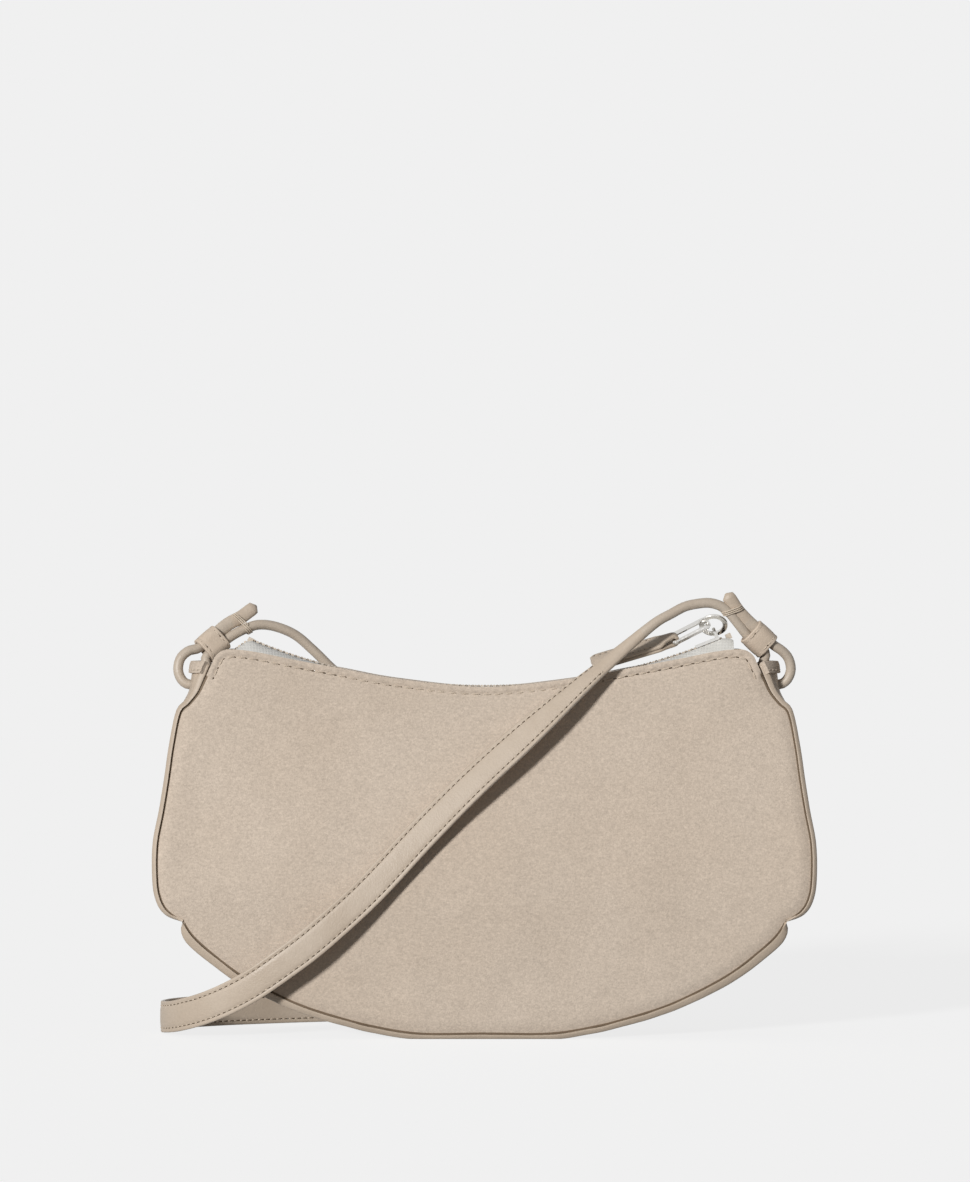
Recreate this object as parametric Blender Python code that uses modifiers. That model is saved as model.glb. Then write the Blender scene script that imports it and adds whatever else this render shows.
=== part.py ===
"""A small half-moon crossbody bag: suede panels, leather gussets, a curved metal zip in
a dipped mouth, and a long flat strap whose ends are rolled to a cord.

Metres, +Z up. X runs along the width, -Y is the front, and the origin is the middle of
the base on the surface that the bag stands on."""

import math

import bmesh
import bpy
from mathutils import Vector

# Body
HALF_WIDTH = 0.1303
BODY_HEIGHT = 0.1546
BASE_HALF_DEPTH = 0.0260
MOUTH_HALF_DEPTH = 0.0125
TAPER_LOW_Z = 0.323 * BODY_HEIGHT
TAPER_HIGH_Z = 0.867 * BODY_HEIGHT
PANEL_CROWN = 0.0040
PANEL_THICK = 0.0014
GUSSET_THICK = 0.0012
SEAM_GAP = 0.0003
SIDE_SEAM_GAP = 0.0005
GUSSET_SIDE_GAP = 0.0002
BASE_ROLL_MIDDLE = 0.0006
BASE_ROLL_END = 0.0026
TAB_ARCH = 0.0064
TAB_ARCH_LOW_Z = 0.831 * BODY_HEIGHT
GUSSET_TOP_Z = 0.956 * BODY_HEIGHT

# Outlines of one half, as shares of the half width and the height
SIDE_SHARES = (
    (0.920, 0.301), (0.969, 0.330), (0.993, 0.372), (1.000, 0.433), (0.998, 0.505),
    (0.982, 0.582), (0.967, 0.666), (0.954, 0.750), (0.934, 0.834), (0.906, 0.860),
    (0.878, 0.889), (0.857, 0.925), (0.834, 0.967),
)
TOP_SHARES = (
    (0.000, 0.903), (0.267, 0.924), (0.442, 0.951), (0.594, 0.975), (0.700, 0.993),
    (0.770, 1.000), (0.803, 0.997), (0.825, 0.983), (0.834, 0.967),
)
BOTTOM_SHARES = (
    (0.000, 0.0125), (0.200, 0.0125), (0.340, 0.031), (0.450, 0.055), (0.556, 0.084),
    (0.650, 0.120), (0.747, 0.165), (0.826, 0.215), (0.888, 0.262), (0.920, 0.301),
)
PANEL_COLUMNS = 20
PANEL_ROWS = 14
LINING_COLUMNS = 14
LINING_ROWS = 8
SMOOTHING_ROUNDS = 30
LINE_STEPS = 400
SMOOTH_ANGLE = math.radians(40.0)
WELD_DISTANCE = 0.00001
FINE_STEPS = 24
CROWN_ROUNDNESS = 0.8
BASE_SPANS = 30
HOLE_SIDES = 20

# Gussets: places across, as shares of the half depth
BASE_ACROSS_SHARES = (-1.0, -0.97, -0.91, -0.80, -0.40, 0.0, 0.40, 0.80, 0.91, 0.97, 1.0)
BASE_FLAT_SHARE = 0.80
SIDE_ACROSS_SHARES = (-1.0, -0.80, -0.50, -0.25, 0.0, 0.25, 0.50, 0.80, 1.0)
SIDE_START_SHARE = 0.022
BASE_START_SHARE = 0.004
BASE_END_SHARE = 0.035

# Lining, base board and facings
LINING_INSET = 0.0019
LINING_THICK = 0.0006
LINING_TOP_SHARE = 0.865
LINING_ACROSS_SHARES = (-1.0, -0.5, 0.0, 0.5, 1.0)
BOARD_HALF_LENGTH = 0.445 * HALF_WIDTH
BOARD_HALF_WIDTH = 0.0215
BOARD_THICK = 0.0011
BOARD_SEGMENTS = 14
FACING_THICK = 0.0010
FACING_HEIGHT = 0.0120
FACING_DROP = 0.0017
FACING_HALF_LENGTH = 0.744 * HALF_WIDTH
FACING_SEGMENTS = 20

# Zip
ZIP_BOW_SHARE = 2.240
ZIP_RADIUS = ZIP_BOW_SHARE * HALF_WIDTH * HALF_WIDTH / BODY_HEIGHT
ZIP_LOW_Z = 0.901 * BODY_HEIGHT
TAPE_LEFT_X = -0.785 * HALF_WIDTH
TAPE_RIGHT_X = 0.766 * HALF_WIDTH
DROOP_LEFT_X = -0.733 * HALF_WIDTH
DROOP_RIGHT_X = 0.741 * HALF_WIDTH
DROOP_LEFT = 0.0045
DROOP_RIGHT = 0.0010
TAPE_THICK = 0.0005
TAPE_INNER_Y = 0.0029
TAPE_LEG = 0.0075
TAPE_STATIONS = 28
TOOTH_PITCH = 0.0025
TOOTH_INNER_Y = 0.0006
TOOTH_CORD_Y = 0.0017
TOOTH_OUTER_Y = 0.0026
TOOTH_HEIGHT = 0.0015
TEETH_LEFT_X = -0.710 * HALF_WIDTH
TEETH_RIGHT_X = 0.741 * HALF_WIDTH
STOP_LENGTH = 0.0022
STOP_HEIGHT = 0.0022
STOP_GAP = 0.0004

# Slider and pull
SLIDER_REST_X = 0.690 * HALF_WIDTH
SLIDER_HALF_LENGTH = 0.0050
SLIDER_HALF_WIDTH = 0.0042
SLIDER_PLATE = 0.0006
SLIDER_CLEARANCE = 0.0003
SLIDER_WEB = 0.0005
SLIDER_FLANGE = 0.0006
BAIL_WIRE = 0.0006
BAIL_HALF_SPAN = 0.0037
BAIL_SHIFT = 0.0043
BAIL_RISE = 0.0036
BAIL_TOP_SHARE = 0.8
BAIL_LEG_SHARE = 0.6
RING_OUTER = 0.0058
RING_INNER = 0.0037
RING_THICK = 0.0011
RING_EDGE = 0.0003
RING_SIDES = 32
RING_LEAN = math.radians(-43.0)
LINK_LENGTH = 0.0176
LINK_WIDTH = 0.0074
LINK_WIRE = 0.00100
LINK_CORNER = 0.0012
LINK_CORNER_STEPS = 3
LINK_SLOPE = math.radians(-27.0)
LINK_ROLL = math.radians(-36.0)
PULL_PLAY = 0.0004
BAIL_PLAY = 0.00025
TAB_LENGTH = 0.0340
TAB_WIDTH = 0.0080
TAB_LEATHER = 0.0013
TAB_SLOPE = math.radians(-11.0)
TAB_FOLD_STEPS = 8
TAB_NECK_WIDTH = 0.0030
TAB_NECK_START = 0.0016
TAB_NECK_LENGTH = 0.0060
TAB_NECK_SHARE = 0.6
TAB_LEG_PLACES = 4

# Strap
CORD_RADIUS = 0.0020
STRAP_WIDTH = 0.0127
STRAP_THICK = 0.0020
STRAP_STEP = 0.0115
ROLLED_RIGHT_LENGTH = 0.016
ROLLED_LEFT_LENGTH = 0.024
ROLLED_TAPER_LENGTH = 0.034
STRAP_SIDES = 10
STRAP_SQUARENESS = 0.25
HOLE_RADIUS = 0.0028
HOLE_Z = 0.9075 * BODY_HEIGHT
HOLE_CUTTER_LENGTH = 0.014
BACKING_HALF_WIDTH_SHARE = 0.52
BACKING_LOW_Z = 0.8784 * BODY_HEIGHT
BACKING_HIGH_Z = 0.9282 * BODY_HEIGHT
BACKING_THICK = 0.0008
BACKING_GAP = 0.0003
BACKING_ROWS = 4
BACKING_COLUMNS = 6
BINDING_THICK = 0.0009
BINDING_HEIGHT = 0.0037
BINDING_ACROSS_SHARE = 0.84
BINDING_COLUMNS = 10
KEEPER_LENGTH = 0.0098
KEEPER_WALL = 0.0011
KEEPER_CLEARANCE = 0.0005
KEEPER_ARC_STEPS = 8
TIE_WIRE = 0.00036
TIE_TURNS = 3
TIE_PITCH = 0.0008
TIE_ARC_STEPS = 5
TIE_CLEARANCE = 0.0006

# The strap's routes were drawn on a body of this half width and height, and stretch
# with it. Each point was chosen by hand: place, then the way the strap's width points
ROUTE_HALF_WIDTH = 0.1303
ROUTE_BODY_HEIGHT = 0.1546
STRAP_ROUTE = (
    ((0.0875, -0.0100, 0.1731), (0.15, -0.25, 0.95)),
    ((0.0805, -0.0112, 0.1718), (0.05, -0.35, 0.93)),
    ((0.0746, -0.0122, 0.1688), (-0.15, -0.35, 0.92)),
    ((0.0680, -0.0135, 0.1642), (-0.40, -0.33, 0.85)),
    ((0.0575, -0.0155, 0.1566), (-0.62, -0.30, 0.74)),
    ((0.0424, -0.0190, 0.1425), (-0.66, -0.30, 0.70)),
    ((0.0304, -0.0222, 0.1341), (-0.66, -0.28, 0.70)),
    ((-0.0018, -0.0290, 0.1062), (-0.66, -0.22, 0.72)),
    ((-0.0240, -0.0325, 0.0825), (-0.64, -0.16, 0.75)),
    ((-0.0456, -0.0350, 0.0595), (-0.62, -0.10, 0.78)),
    ((-0.0660, -0.0372, 0.0410), (-0.58, -0.05, 0.81)),
    ((-0.0802, -0.0372, 0.0302), (-0.50, -0.02, 0.86)),
    ((-0.0945, -0.0342, 0.0205), (-0.38, 0.00, 0.92)),
    ((-0.1090, -0.0270, 0.0132), (-0.22, 0.00, 0.97)),
    ((-0.1220, -0.0150, 0.0086), (-0.08, 0.00, 0.99)),
    ((-0.1290, -0.0010, 0.0069), (0.00, 0.00, 1.00)),
    ((-0.1275, 0.0130, 0.0067), (0.00, 0.00, 1.00)),
    ((-0.1180, 0.0250, 0.0067), (0.00, 0.00, 1.00)),
    ((-0.1000, 0.0370, 0.0067), (0.00, 0.00, 1.00)),
    ((-0.0700, 0.0500, 0.0067), (0.00, 0.02, 1.00)),
    ((-0.0300, 0.0600, 0.0068), (0.00, 0.08, 0.99)),
    ((0.0100, 0.0640, 0.0072), (0.00, 0.25, 0.96)),
    ((0.0450, 0.0620, 0.0110), (-0.10, 0.60, 0.80)),
    ((0.0750, 0.0560, 0.0270), (-0.10, 0.95, 0.20)),
    ((0.0920, 0.0500, 0.0520), (0.00, 1.00, 0.10)),
    ((0.0930, 0.0440, 0.0790), (0.00, 0.99, 0.10)),
    ((0.0790, 0.0390, 0.1010), (0.00, 0.98, 0.15)),
    ((0.0530, 0.0345, 0.1130), (0.00, 0.95, 0.25)),
    ((0.0200, 0.0310, 0.1180), (0.00, 0.85, 0.50)),
    ((-0.0150, 0.0270, 0.1230), (-0.10, 0.60, 0.78)),
    ((-0.0420, 0.0225, 0.1320), (-0.40, 0.30, 0.86)),
    ((-0.0590, 0.0195, 0.1440), (-0.62, 0.15, 0.76)),
    ((-0.0690, 0.0175, 0.1535), (-0.62, 0.10, 0.76)),
    ((-0.0765, 0.0155, 0.1600), (-0.45, 0.05, 0.88)),
)
# The rolled ends, from the flat strap through the tie, the keeper, the gusset hole and
# back to the tip, for the right and the left side
CORD_ROUTE_RIGHT = (
    (0.0875, -0.0100, 0.1731), (0.0914, -0.0094, 0.1729), (0.0950, -0.0087, 0.1716),
    (0.0982, -0.0079, 0.1690), (0.1018, -0.0069, 0.1646), (0.1058, -0.0056, 0.1596),
    (0.1094, -0.0046, 0.1563), (0.1126, -0.0037, 0.1531), (0.1121, -0.0028, 0.1499),
    (0.1113, -0.0016, 0.1463), (0.1125, -0.0006, 0.1430), (0.1149, -0.0001, 0.1407),
    (0.1174, 0.0000, 0.1403), (0.1201, 0.0000, 0.1409), (0.1222, -0.0003, 0.1432),
    (0.1231, -0.0008, 0.1468), (0.1220, -0.0016, 0.1510), (0.1193, -0.0027, 0.1540),
    (0.1160, -0.0036, 0.1562), (0.11244, -0.0046, 0.1595), (0.1086, -0.0056, 0.1629),
    (0.1047, -0.0067, 0.1665), (0.1011, -0.0077, 0.1704), (0.0985, -0.0086, 0.1744),
    (0.0964, -0.0092, 0.1768),
)
CORD_ROUTE_LEFT = (
    (-0.0765, 0.0155, 0.1600), (-0.0842, 0.0134, 0.1634), (-0.0908, 0.0116, 0.1643),
    (-0.0957, 0.0099, 0.1630), (-0.1010, 0.0080, 0.1604), (-0.1053, 0.0062, 0.1573),
    (-0.1088, 0.0044, 0.1542), (-0.1120, 0.0031, 0.1513), (-0.1119, 0.0020, 0.1484),
    (-0.1113, 0.0010, 0.1450), (-0.1125, 0.0004, 0.1423), (-0.1149, 0.0001, 0.1406),
    (-0.1174, 0.0000, 0.1403), (-0.1201, 0.0000, 0.1408), (-0.1222, 0.0003, 0.1430),
    (-0.1232, 0.0007, 0.1466), (-0.1222, 0.0013, 0.1509), (-0.1191, 0.0020, 0.1538),
    (-0.1154, 0.0030, 0.1548), (-0.1118, 0.0044, 0.1576), (-0.1083, 0.0062, 0.1607),
    (-0.1034, 0.0085, 0.1646), (-0.0986, 0.0101, 0.1672), (-0.0949, 0.0113, 0.1699),
    (-0.0922, 0.0120, 0.1720),
)
CORD_STEP = 0.0030
CORD_JOINT_GAP = 0.0006
STRAND_APART = 3
KEEPER_RIGHT_AT = (0.1102, -0.0049, 0.1587)
KEEPER_LEFT_AT = (-0.1100, 0.0046, 0.1562)
TIE_RIGHT_AT = (0.1000, -0.0079, 0.1703)
TIE_LEFT_AT = (-0.0975, 0.0100, 0.1652)

SUEDE = ("suede", (0.57, 0.49, 0.41), 0.95, 0.0)
LEATHER = ("leather", (0.52, 0.44, 0.35), 0.55, 0.0)
FABRIC = ("lining_fabric", (0.45, 0.38, 0.30), 0.90, 0.0)
BOARD = ("board", (0.30, 0.27, 0.22), 0.90, 0.0)
TAPE = ("zip_tape", (0.80, 0.79, 0.76), 0.90, 0.0)
METAL = ("silver_metal", (0.80, 0.79, 0.77), 0.22, 1.0)
THREAD = ("thread", (0.62, 0.56, 0.48), 0.80, 0.0)


def material(spec):
    """The surface of one piece, made once for each name."""
    name, colour, roughness, metallic = spec
    if name in bpy.data.materials:
        return bpy.data.materials[name]
    made = bpy.data.materials.new(name)
    made.use_nodes = True
    shader = made.node_tree.nodes["Principled BSDF"]
    shader.inputs["Base Color"].default_value = (*colour, 1.0)
    shader.inputs["Roughness"].default_value = roughness
    shader.inputs["Metallic"].default_value = metallic
    made.diffuse_color = (*colour, 1.0)
    return made


def start_scene():
    """Empties the scene and makes the collections for pieces and for cutters."""
    for obj in list(bpy.data.objects):
        bpy.data.objects.remove(obj, do_unlink=True)
    collections = {}
    for name in ("crossbody_bag", "cutters"):
        collections[name] = bpy.data.collections.new(name)
        bpy.context.scene.collection.children.link(collections[name])
    return collections


COLLECTIONS = start_scene()


def add_mesh(name, points, faces, spec, smooth=True):
    """One piece from its corners and faces, with all its faces pointing out."""
    mesh = bpy.data.meshes.new(name)
    mesh.from_pydata([tuple(point) for point in points], [], faces)
    mesh.materials.append(material(spec))
    if smooth:
        mesh.shade_smooth()
        mesh.set_sharp_from_angle(angle=SMOOTH_ANGLE)
    obj = bpy.data.objects.new(name, mesh)
    COLLECTIONS["crossbody_bag"].objects.link(obj)
    return obj


def face_out(obj):
    """Turns every face of a closed mesh outwards."""
    work = bmesh.new()
    work.from_mesh(obj.data)
    bmesh.ops.recalc_face_normals(work, faces=work.faces)
    work.to_mesh(obj.data)
    work.free()


def solidify(obj, thickness, offset=-1.0):
    """Gives an open surface its thickness, behind its face by default."""
    shell = obj.modifiers.new("thickness", "SOLIDIFY")
    shell.thickness = thickness
    shell.offset = offset
    shell.use_even_offset = True
    return shell


def curve_to_mesh(obj):
    """Swaps a curve object for the mesh that it makes, with its caps welded."""
    bpy.context.view_layer.update()
    evaluated = obj.evaluated_get(bpy.context.evaluated_depsgraph_get())
    mesh = bpy.data.meshes.new_from_object(evaluated)
    work = bmesh.new()
    work.from_mesh(mesh)
    bmesh.ops.remove_doubles(work, verts=work.verts, dist=WELD_DISTANCE)
    bmesh.ops.recalc_face_normals(work, faces=work.faces)
    work.to_mesh(mesh)
    work.free()
    name = obj.name
    matrix = obj.matrix_world.copy()
    bpy.data.objects.remove(obj, do_unlink=True)
    made = bpy.data.objects.new(name, mesh)
    made.matrix_world = matrix
    COLLECTIONS["crossbody_bag"].objects.link(made)
    return made


def smooth_line(points, count):
    """count + 1 points at even steps along a smooth curve through the given points."""
    points = [Vector(point) for point in points]
    first = points[0] * 2.0 - points[1]
    last = points[-1] * 2.0 - points[-2]
    padded = [first] + points + [last]
    fine = []
    for i in range(1, len(padded) - 2):
        a, b, c, d = padded[i - 1 : i + 3]
        for k in range(FINE_STEPS):
            t = k / FINE_STEPS
            fine.append(
                0.5 * (2.0 * b + (c - a) * t + (2.0 * a - 5.0 * b + 4.0 * c - d) * t * t
                       + (3.0 * b - a - 3.0 * c + d) * t * t * t)
            )
    fine.append(points[-1])
    lengths = [0.0]
    for a, b in zip(fine, fine[1:]):
        lengths.append(lengths[-1] + (b - a).length)
    line = []
    j = 0
    for i in range(count + 1):
        want = lengths[-1] * i / count
        while j < len(lengths) - 2 and lengths[j + 1] < want:
            j += 1
        share = (want - lengths[j]) / (lengths[j + 1] - lengths[j])
        line.append(fine[j].lerp(fine[j + 1], min(max(share, 0.0), 1.0)))
    return line


def set_origin(obj, spot):
    """Moves a mesh's origin to a spot, with its shape left where it is."""
    for vertex in obj.data.vertices:
        vertex.co -= spot
    obj.location = spot


def line_length(points):
    return sum((b - a).length for a, b in zip(points, points[1:]))


def outline(shares):
    """Outline points in the plane of the panel, as (x, z)."""
    return [Vector((x * HALF_WIDTH, z * BODY_HEIGHT)) for x, z in shares]


def mirrored(points):
    """The points of a half from the left end to the right end."""
    left = [Vector((-point.x, point.y)) for point in reversed(points[1:])]
    return left + list(points)


def normals_2d(points):
    """Unit normals to the right of the way that the line runs."""
    normals = []
    for i in range(len(points)):
        a = points[max(i - 1, 0)]
        b = points[min(i + 1, len(points) - 1)]
        run = (b - a).normalized()
        normals.append(Vector((run.y, -run.x)))
    return normals


def half_depth(z):
    """Half of the bag's depth at the seams at a height."""
    rise = (z - TAPER_LOW_Z) / (TAPER_HIGH_Z - TAPER_LOW_Z)
    ease = (1.0 - math.cos(math.pi * min(max(rise, 0.0), 1.0))) / 2.0
    return BASE_HALF_DEPTH + (MOUTH_HALF_DEPTH - BASE_HALF_DEPTH) * ease


TOP_LINE = smooth_line(mirrored(outline(TOP_SHARES)), LINE_STEPS)


def top_z(x):
    """Height of the panels' top edge at a place along the width."""
    for a, b in zip(TOP_LINE, TOP_LINE[1:]):
        if a.x <= x <= b.x:
            return a.y + (b.y - a.y) * (x - a.x) / (b.x - a.x)
    return TOP_LINE[0].y


def patch(inset, columns, rows, top_share, top_drop):
    """A grid of (x, z) places that fills the panel's outline, drawn in by the inset."""
    side = smooth_line(outline(SIDE_SHARES), LINE_STEPS)
    side = side[: int(round(LINE_STEPS * top_share)) + 1]
    side = smooth_line(side, rows)
    bottom = smooth_line(mirrored(outline(BOTTOM_SHARES)), columns)
    side = [p - n * inset for p, n in zip(side, normals_2d(side))]
    bottom = [p - n * inset for p, n in zip(bottom, normals_2d(bottom))]
    side[0] = bottom[-1] = (side[0] + bottom[-1]) / 2.0
    bottom[0] = Vector((-bottom[-1].x, bottom[-1].y))
    stretch = side[-1].x / outline(SIDE_SHARES)[-1].x
    top = smooth_line(mirrored(outline(TOP_SHARES)), columns)
    top = [Vector((p.x * stretch, p.y - top_drop)) for p in top]
    side[-1] = top[-1].copy()
    left = [Vector((-p.x, p.y)) for p in side]
    grid = []
    for j in range(rows + 1):
        v = j / rows
        line = []
        for i in range(columns + 1):
            u = i / columns
            ruled = bottom[i] * (1.0 - v) + top[i] * v + left[j] * (1.0 - u) + side[j] * u
            corners = ((bottom[0] * (1.0 - u) + bottom[-1] * u) * (1.0 - v)
                       + (top[0] * (1.0 - u) + top[-1] * u) * v)
            line.append(ruled - corners)
        grid.append(line)
    for _ in range(SMOOTHING_ROUNDS):
        for j in range(1, rows):
            for i in range(1, columns):
                near = grid[j - 1][i] + grid[j + 1][i] + grid[j][i - 1] + grid[j][i + 1]
                grid[j][i] = near / 4.0
    return grid


def crown(u, v):
    """Share of the panel's crown at a place across and up the panel."""
    return math.sin(math.pi * u) ** CROWN_ROUNDNESS * math.sin(math.pi * v)


def panel_points(grid, side, inset):
    """The grid's places in the bag, on the front (-1) or the back (1)."""
    rows = len(grid) - 1
    columns = len(grid[0]) - 1
    points = []
    for j, line in enumerate(grid):
        for i, place in enumerate(line):
            depth = half_depth(place.y) - inset + PANEL_CROWN * crown(i / columns, j / rows)
            points.append(Vector((place.x, side * depth, place.y)))
    return points


def grid_faces(columns, rows, flip=False, start=0):
    """Faces of a grid of points that is stored row by row."""
    faces = []
    wide = columns + 1
    for j in range(rows):
        for i in range(columns):
            a = start + j * wide + i
            face = (a, a + 1, a + wide + 1, a + wide)
            faces.append(face[::-1] if flip else face)
    return faces


def make_panels():
    """The two suede faces."""
    grid = patch(0.0, PANEL_COLUMNS, PANEL_ROWS, 1.0, 0.0)
    for name, side in (("front_panel", -1.0), ("back_panel", 1.0)):
        points = panel_points(grid, side, 0.0)
        faces = grid_faces(PANEL_COLUMNS, PANEL_ROWS, flip=side > 0.0)
        solidify(add_mesh(name, points, faces, SUEDE), PANEL_THICK)


def roll_height(x):
    """How far the base gusset swells past its seams, at a place along the width."""
    share = min(abs(x) / (SIDE_SHARES[0][0] * HALF_WIDTH), 1.0)
    ending = min((1.0 - share) / BASE_END_SHARE, 1.0)
    swell = BASE_ROLL_MIDDLE + (BASE_ROLL_END - BASE_ROLL_MIDDLE) * share * share
    return swell * math.sqrt(max(ending, 0.0))


def roll_shape(across):
    """The swell across the base: round at both seams and flat between them."""
    past = max(abs(across) - BASE_FLAT_SHARE, 0.0) / (1.0 - BASE_FLAT_SHARE)
    return math.sqrt(max(1.0 - past * past, 0.0))


def make_base_gusset():
    """The leather strip round the curved bottom, pressed flat where it stands."""
    seam = smooth_line(mirrored(outline(BOTTOM_SHARES)), LINE_STEPS)
    skip = int(round(LINE_STEPS * BASE_START_SHARE))
    seam = smooth_line(seam[skip : len(seam) - skip], BASE_SPANS)
    normals = normals_2d(seam)
    points = []
    for place, normal in zip(seam, normals):
        for across in BASE_ACROSS_SHARES:
            out = SEAM_GAP + GUSSET_THICK + roll_height(place.x) * roll_shape(across)
            spot = place + normal * out
            y = across * (half_depth(place.y) - GUSSET_SIDE_GAP)
            points.append(Vector((spot.x, y, max(spot.y, 0.0))))
    faces = grid_faces(len(BASE_ACROSS_SHARES) - 1, len(seam) - 1)
    obj = add_mesh("base_gusset", points, faces, LEATHER)
    solidify(obj, GUSSET_THICK)


SIDE_LINE = smooth_line(outline(SIDE_SHARES), LINE_STEPS)
SIDE_NORMALS = normals_2d(SIDE_LINE)


def side_index(z):
    """Place on the side line, as a share, where the line passes a height."""
    for i, point in enumerate(SIDE_LINE):
        if point.y >= z:
            return i / (len(SIDE_LINE) - 1)
    return 1.0


def side_skin(share, across):
    """A point on the outer face of the right side gusset."""
    i = min(int(round(share * (len(SIDE_LINE) - 1))), len(SIDE_LINE) - 1)
    place = SIDE_LINE[i]
    spot = place + SIDE_NORMALS[i] * (SIDE_SEAM_GAP + GUSSET_THICK)
    rise = (place.y - TAB_ARCH_LOW_Z) / (GUSSET_TOP_Z - TAB_ARCH_LOW_Z)
    rise = min(max(rise, 0.0), 1.0)
    arch = TAB_ARCH * rise * (1.0 - across * across)
    y = across * (half_depth(place.y) - GUSSET_SIDE_GAP)
    return Vector((spot.x + arch, y, spot.y))


def side_normal(share, across):
    """The outward normal of the right side gusset at a point."""
    step = 0.01
    low = max(share - step, 0.0)
    high = min(share + step, 1.0)
    up = side_skin(high, across) - side_skin(low, across)
    over = side_skin(share, min(across + step, 1.0)) - side_skin(share, max(across - step, -1.0))
    normal = over.cross(up).normalized()
    return normal if normal.x > 0.0 else -normal


def mirror_x(points):
    return [Vector((-point.x, point.y, point.z)) for point in points]


def hole_cutter(sign):
    """The cutter for the strap hole of one side, along X."""
    bpy.ops.mesh.primitive_cylinder_add(
        vertices=HOLE_SIDES, radius=HOLE_RADIUS, depth=HOLE_CUTTER_LENGTH,
        location=(sign * side_skin(side_index(HOLE_Z), 0.0).x, 0.0, HOLE_Z),
        rotation=(0.0, math.pi / 2.0, 0.0),
    )
    cutter = bpy.context.active_object
    cutter.name = "strap_hole_cutter_" + ("right" if sign > 0.0 else "left")
    for home in list(cutter.users_collection):
        home.objects.unlink(cutter)
    COLLECTIONS["cutters"].objects.link(cutter)
    cutter.hide_render = True
    cutter.display_type = "WIRE"
    return cutter


def cut_hole(obj, cutter):
    cut = obj.modifiers.new("strap_hole", "BOOLEAN")
    cut.operation = "DIFFERENCE"
    cut.solver = "EXACT"
    cut.object = cutter


def make_side_gussets():
    """The leather strips up both sides, with the strap hole near the top."""
    for side, sign in (("left", -1.0), ("right", 1.0)):
        cutter = hole_cutter(sign)
        columns = len(SIDE_ACROSS_SHARES) - 1
        shares = [j / PANEL_ROWS for j in range(PANEL_ROWS + 1)]
        shares[0] = SIDE_START_SHARE
        shares[-1] = side_index(GUSSET_TOP_Z)
        points = []
        for share in shares:
            points += [side_skin(share, across) for across in SIDE_ACROSS_SHARES]
        if sign < 0.0:
            points = mirror_x(points)
        faces = grid_faces(columns, PANEL_ROWS, flip=sign < 0.0)
        gusset = add_mesh("side_gusset_" + side, points, faces, LEATHER)
        solidify(gusset, GUSSET_THICK)
        cut_hole(gusset, cutter)
        make_backing(side, sign, cutter)
        make_binding(side, sign)


def make_backing(side, sign, cutter):
    """The leather patch behind the strap hole."""
    rows = BACKING_ROWS
    columns = BACKING_COLUMNS
    low = side_index(BACKING_LOW_Z)
    high = side_index(BACKING_HIGH_Z)
    points = []
    for j in range(rows + 1):
        share = low + (high - low) * j / rows
        for i in range(columns + 1):
            across = BACKING_HALF_WIDTH_SHARE * (2.0 * i / columns - 1.0)
            behind = GUSSET_THICK + BACKING_GAP
            points.append(side_skin(share, across) - side_normal(share, across) * behind)
    if sign < 0.0:
        points = mirror_x(points)
    faces = grid_faces(columns, rows, flip=sign < 0.0)
    backing = add_mesh("side_backing_" + side, points, faces, LEATHER)
    solidify(backing, BACKING_THICK)
    cut_hole(backing, cutter)


def add_loft(name, rings, spec, closed=False, smooth=True):
    """A solid through rings of as many points each, capped at both ends."""
    count = len(rings[0])
    points = [point for ring in rings for point in ring]
    faces = []
    spans = len(rings) if closed else len(rings) - 1
    for j in range(spans):
        k = (j + 1) % len(rings)
        for i in range(count):
            n = (i + 1) % count
            faces.append((j * count + i, j * count + n, k * count + n, k * count + i))
    if not closed:
        faces.append(tuple(range(count))[::-1])
        faces.append(tuple(range((len(rings) - 1) * count, len(rings) * count)))
    obj = add_mesh(name, points, faces, spec, smooth)
    face_out(obj)
    return obj


def make_binding(side, sign):
    """The leather band folded over the top of a side gusset."""
    low = side_index(GUSSET_TOP_Z - BINDING_HEIGHT)
    high = side_index(GUSSET_TOP_Z)
    near = SEAM_GAP
    far = SEAM_GAP + BINDING_THICK
    up = Vector((0.0, 0.0, 1.0))
    rings = []
    for i in range(BINDING_COLUMNS + 1):
        across = BINDING_ACROSS_SHARE * (2.0 * i / BINDING_COLUMNS - 1.0)
        foot = side_skin(low, across)
        foot_out = side_normal(low, across)
        head = side_skin(high, across)
        head_out = side_normal(high, across)
        inner_near = GUSSET_THICK + near
        inner_far = GUSSET_THICK + far
        ring = [
            foot + foot_out * far,
            head + head_out * far + up * far,
            head - head_out * inner_far + up * far,
            foot - foot_out * inner_far,
            foot - foot_out * inner_near,
            head - head_out * inner_near + up * near,
            head + head_out * near + up * near,
            foot + foot_out * near,
        ]
        rings.append(mirror_x(ring) if sign < 0.0 else ring)
    add_loft("gusset_binding_" + side, rings, LEATHER)


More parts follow.
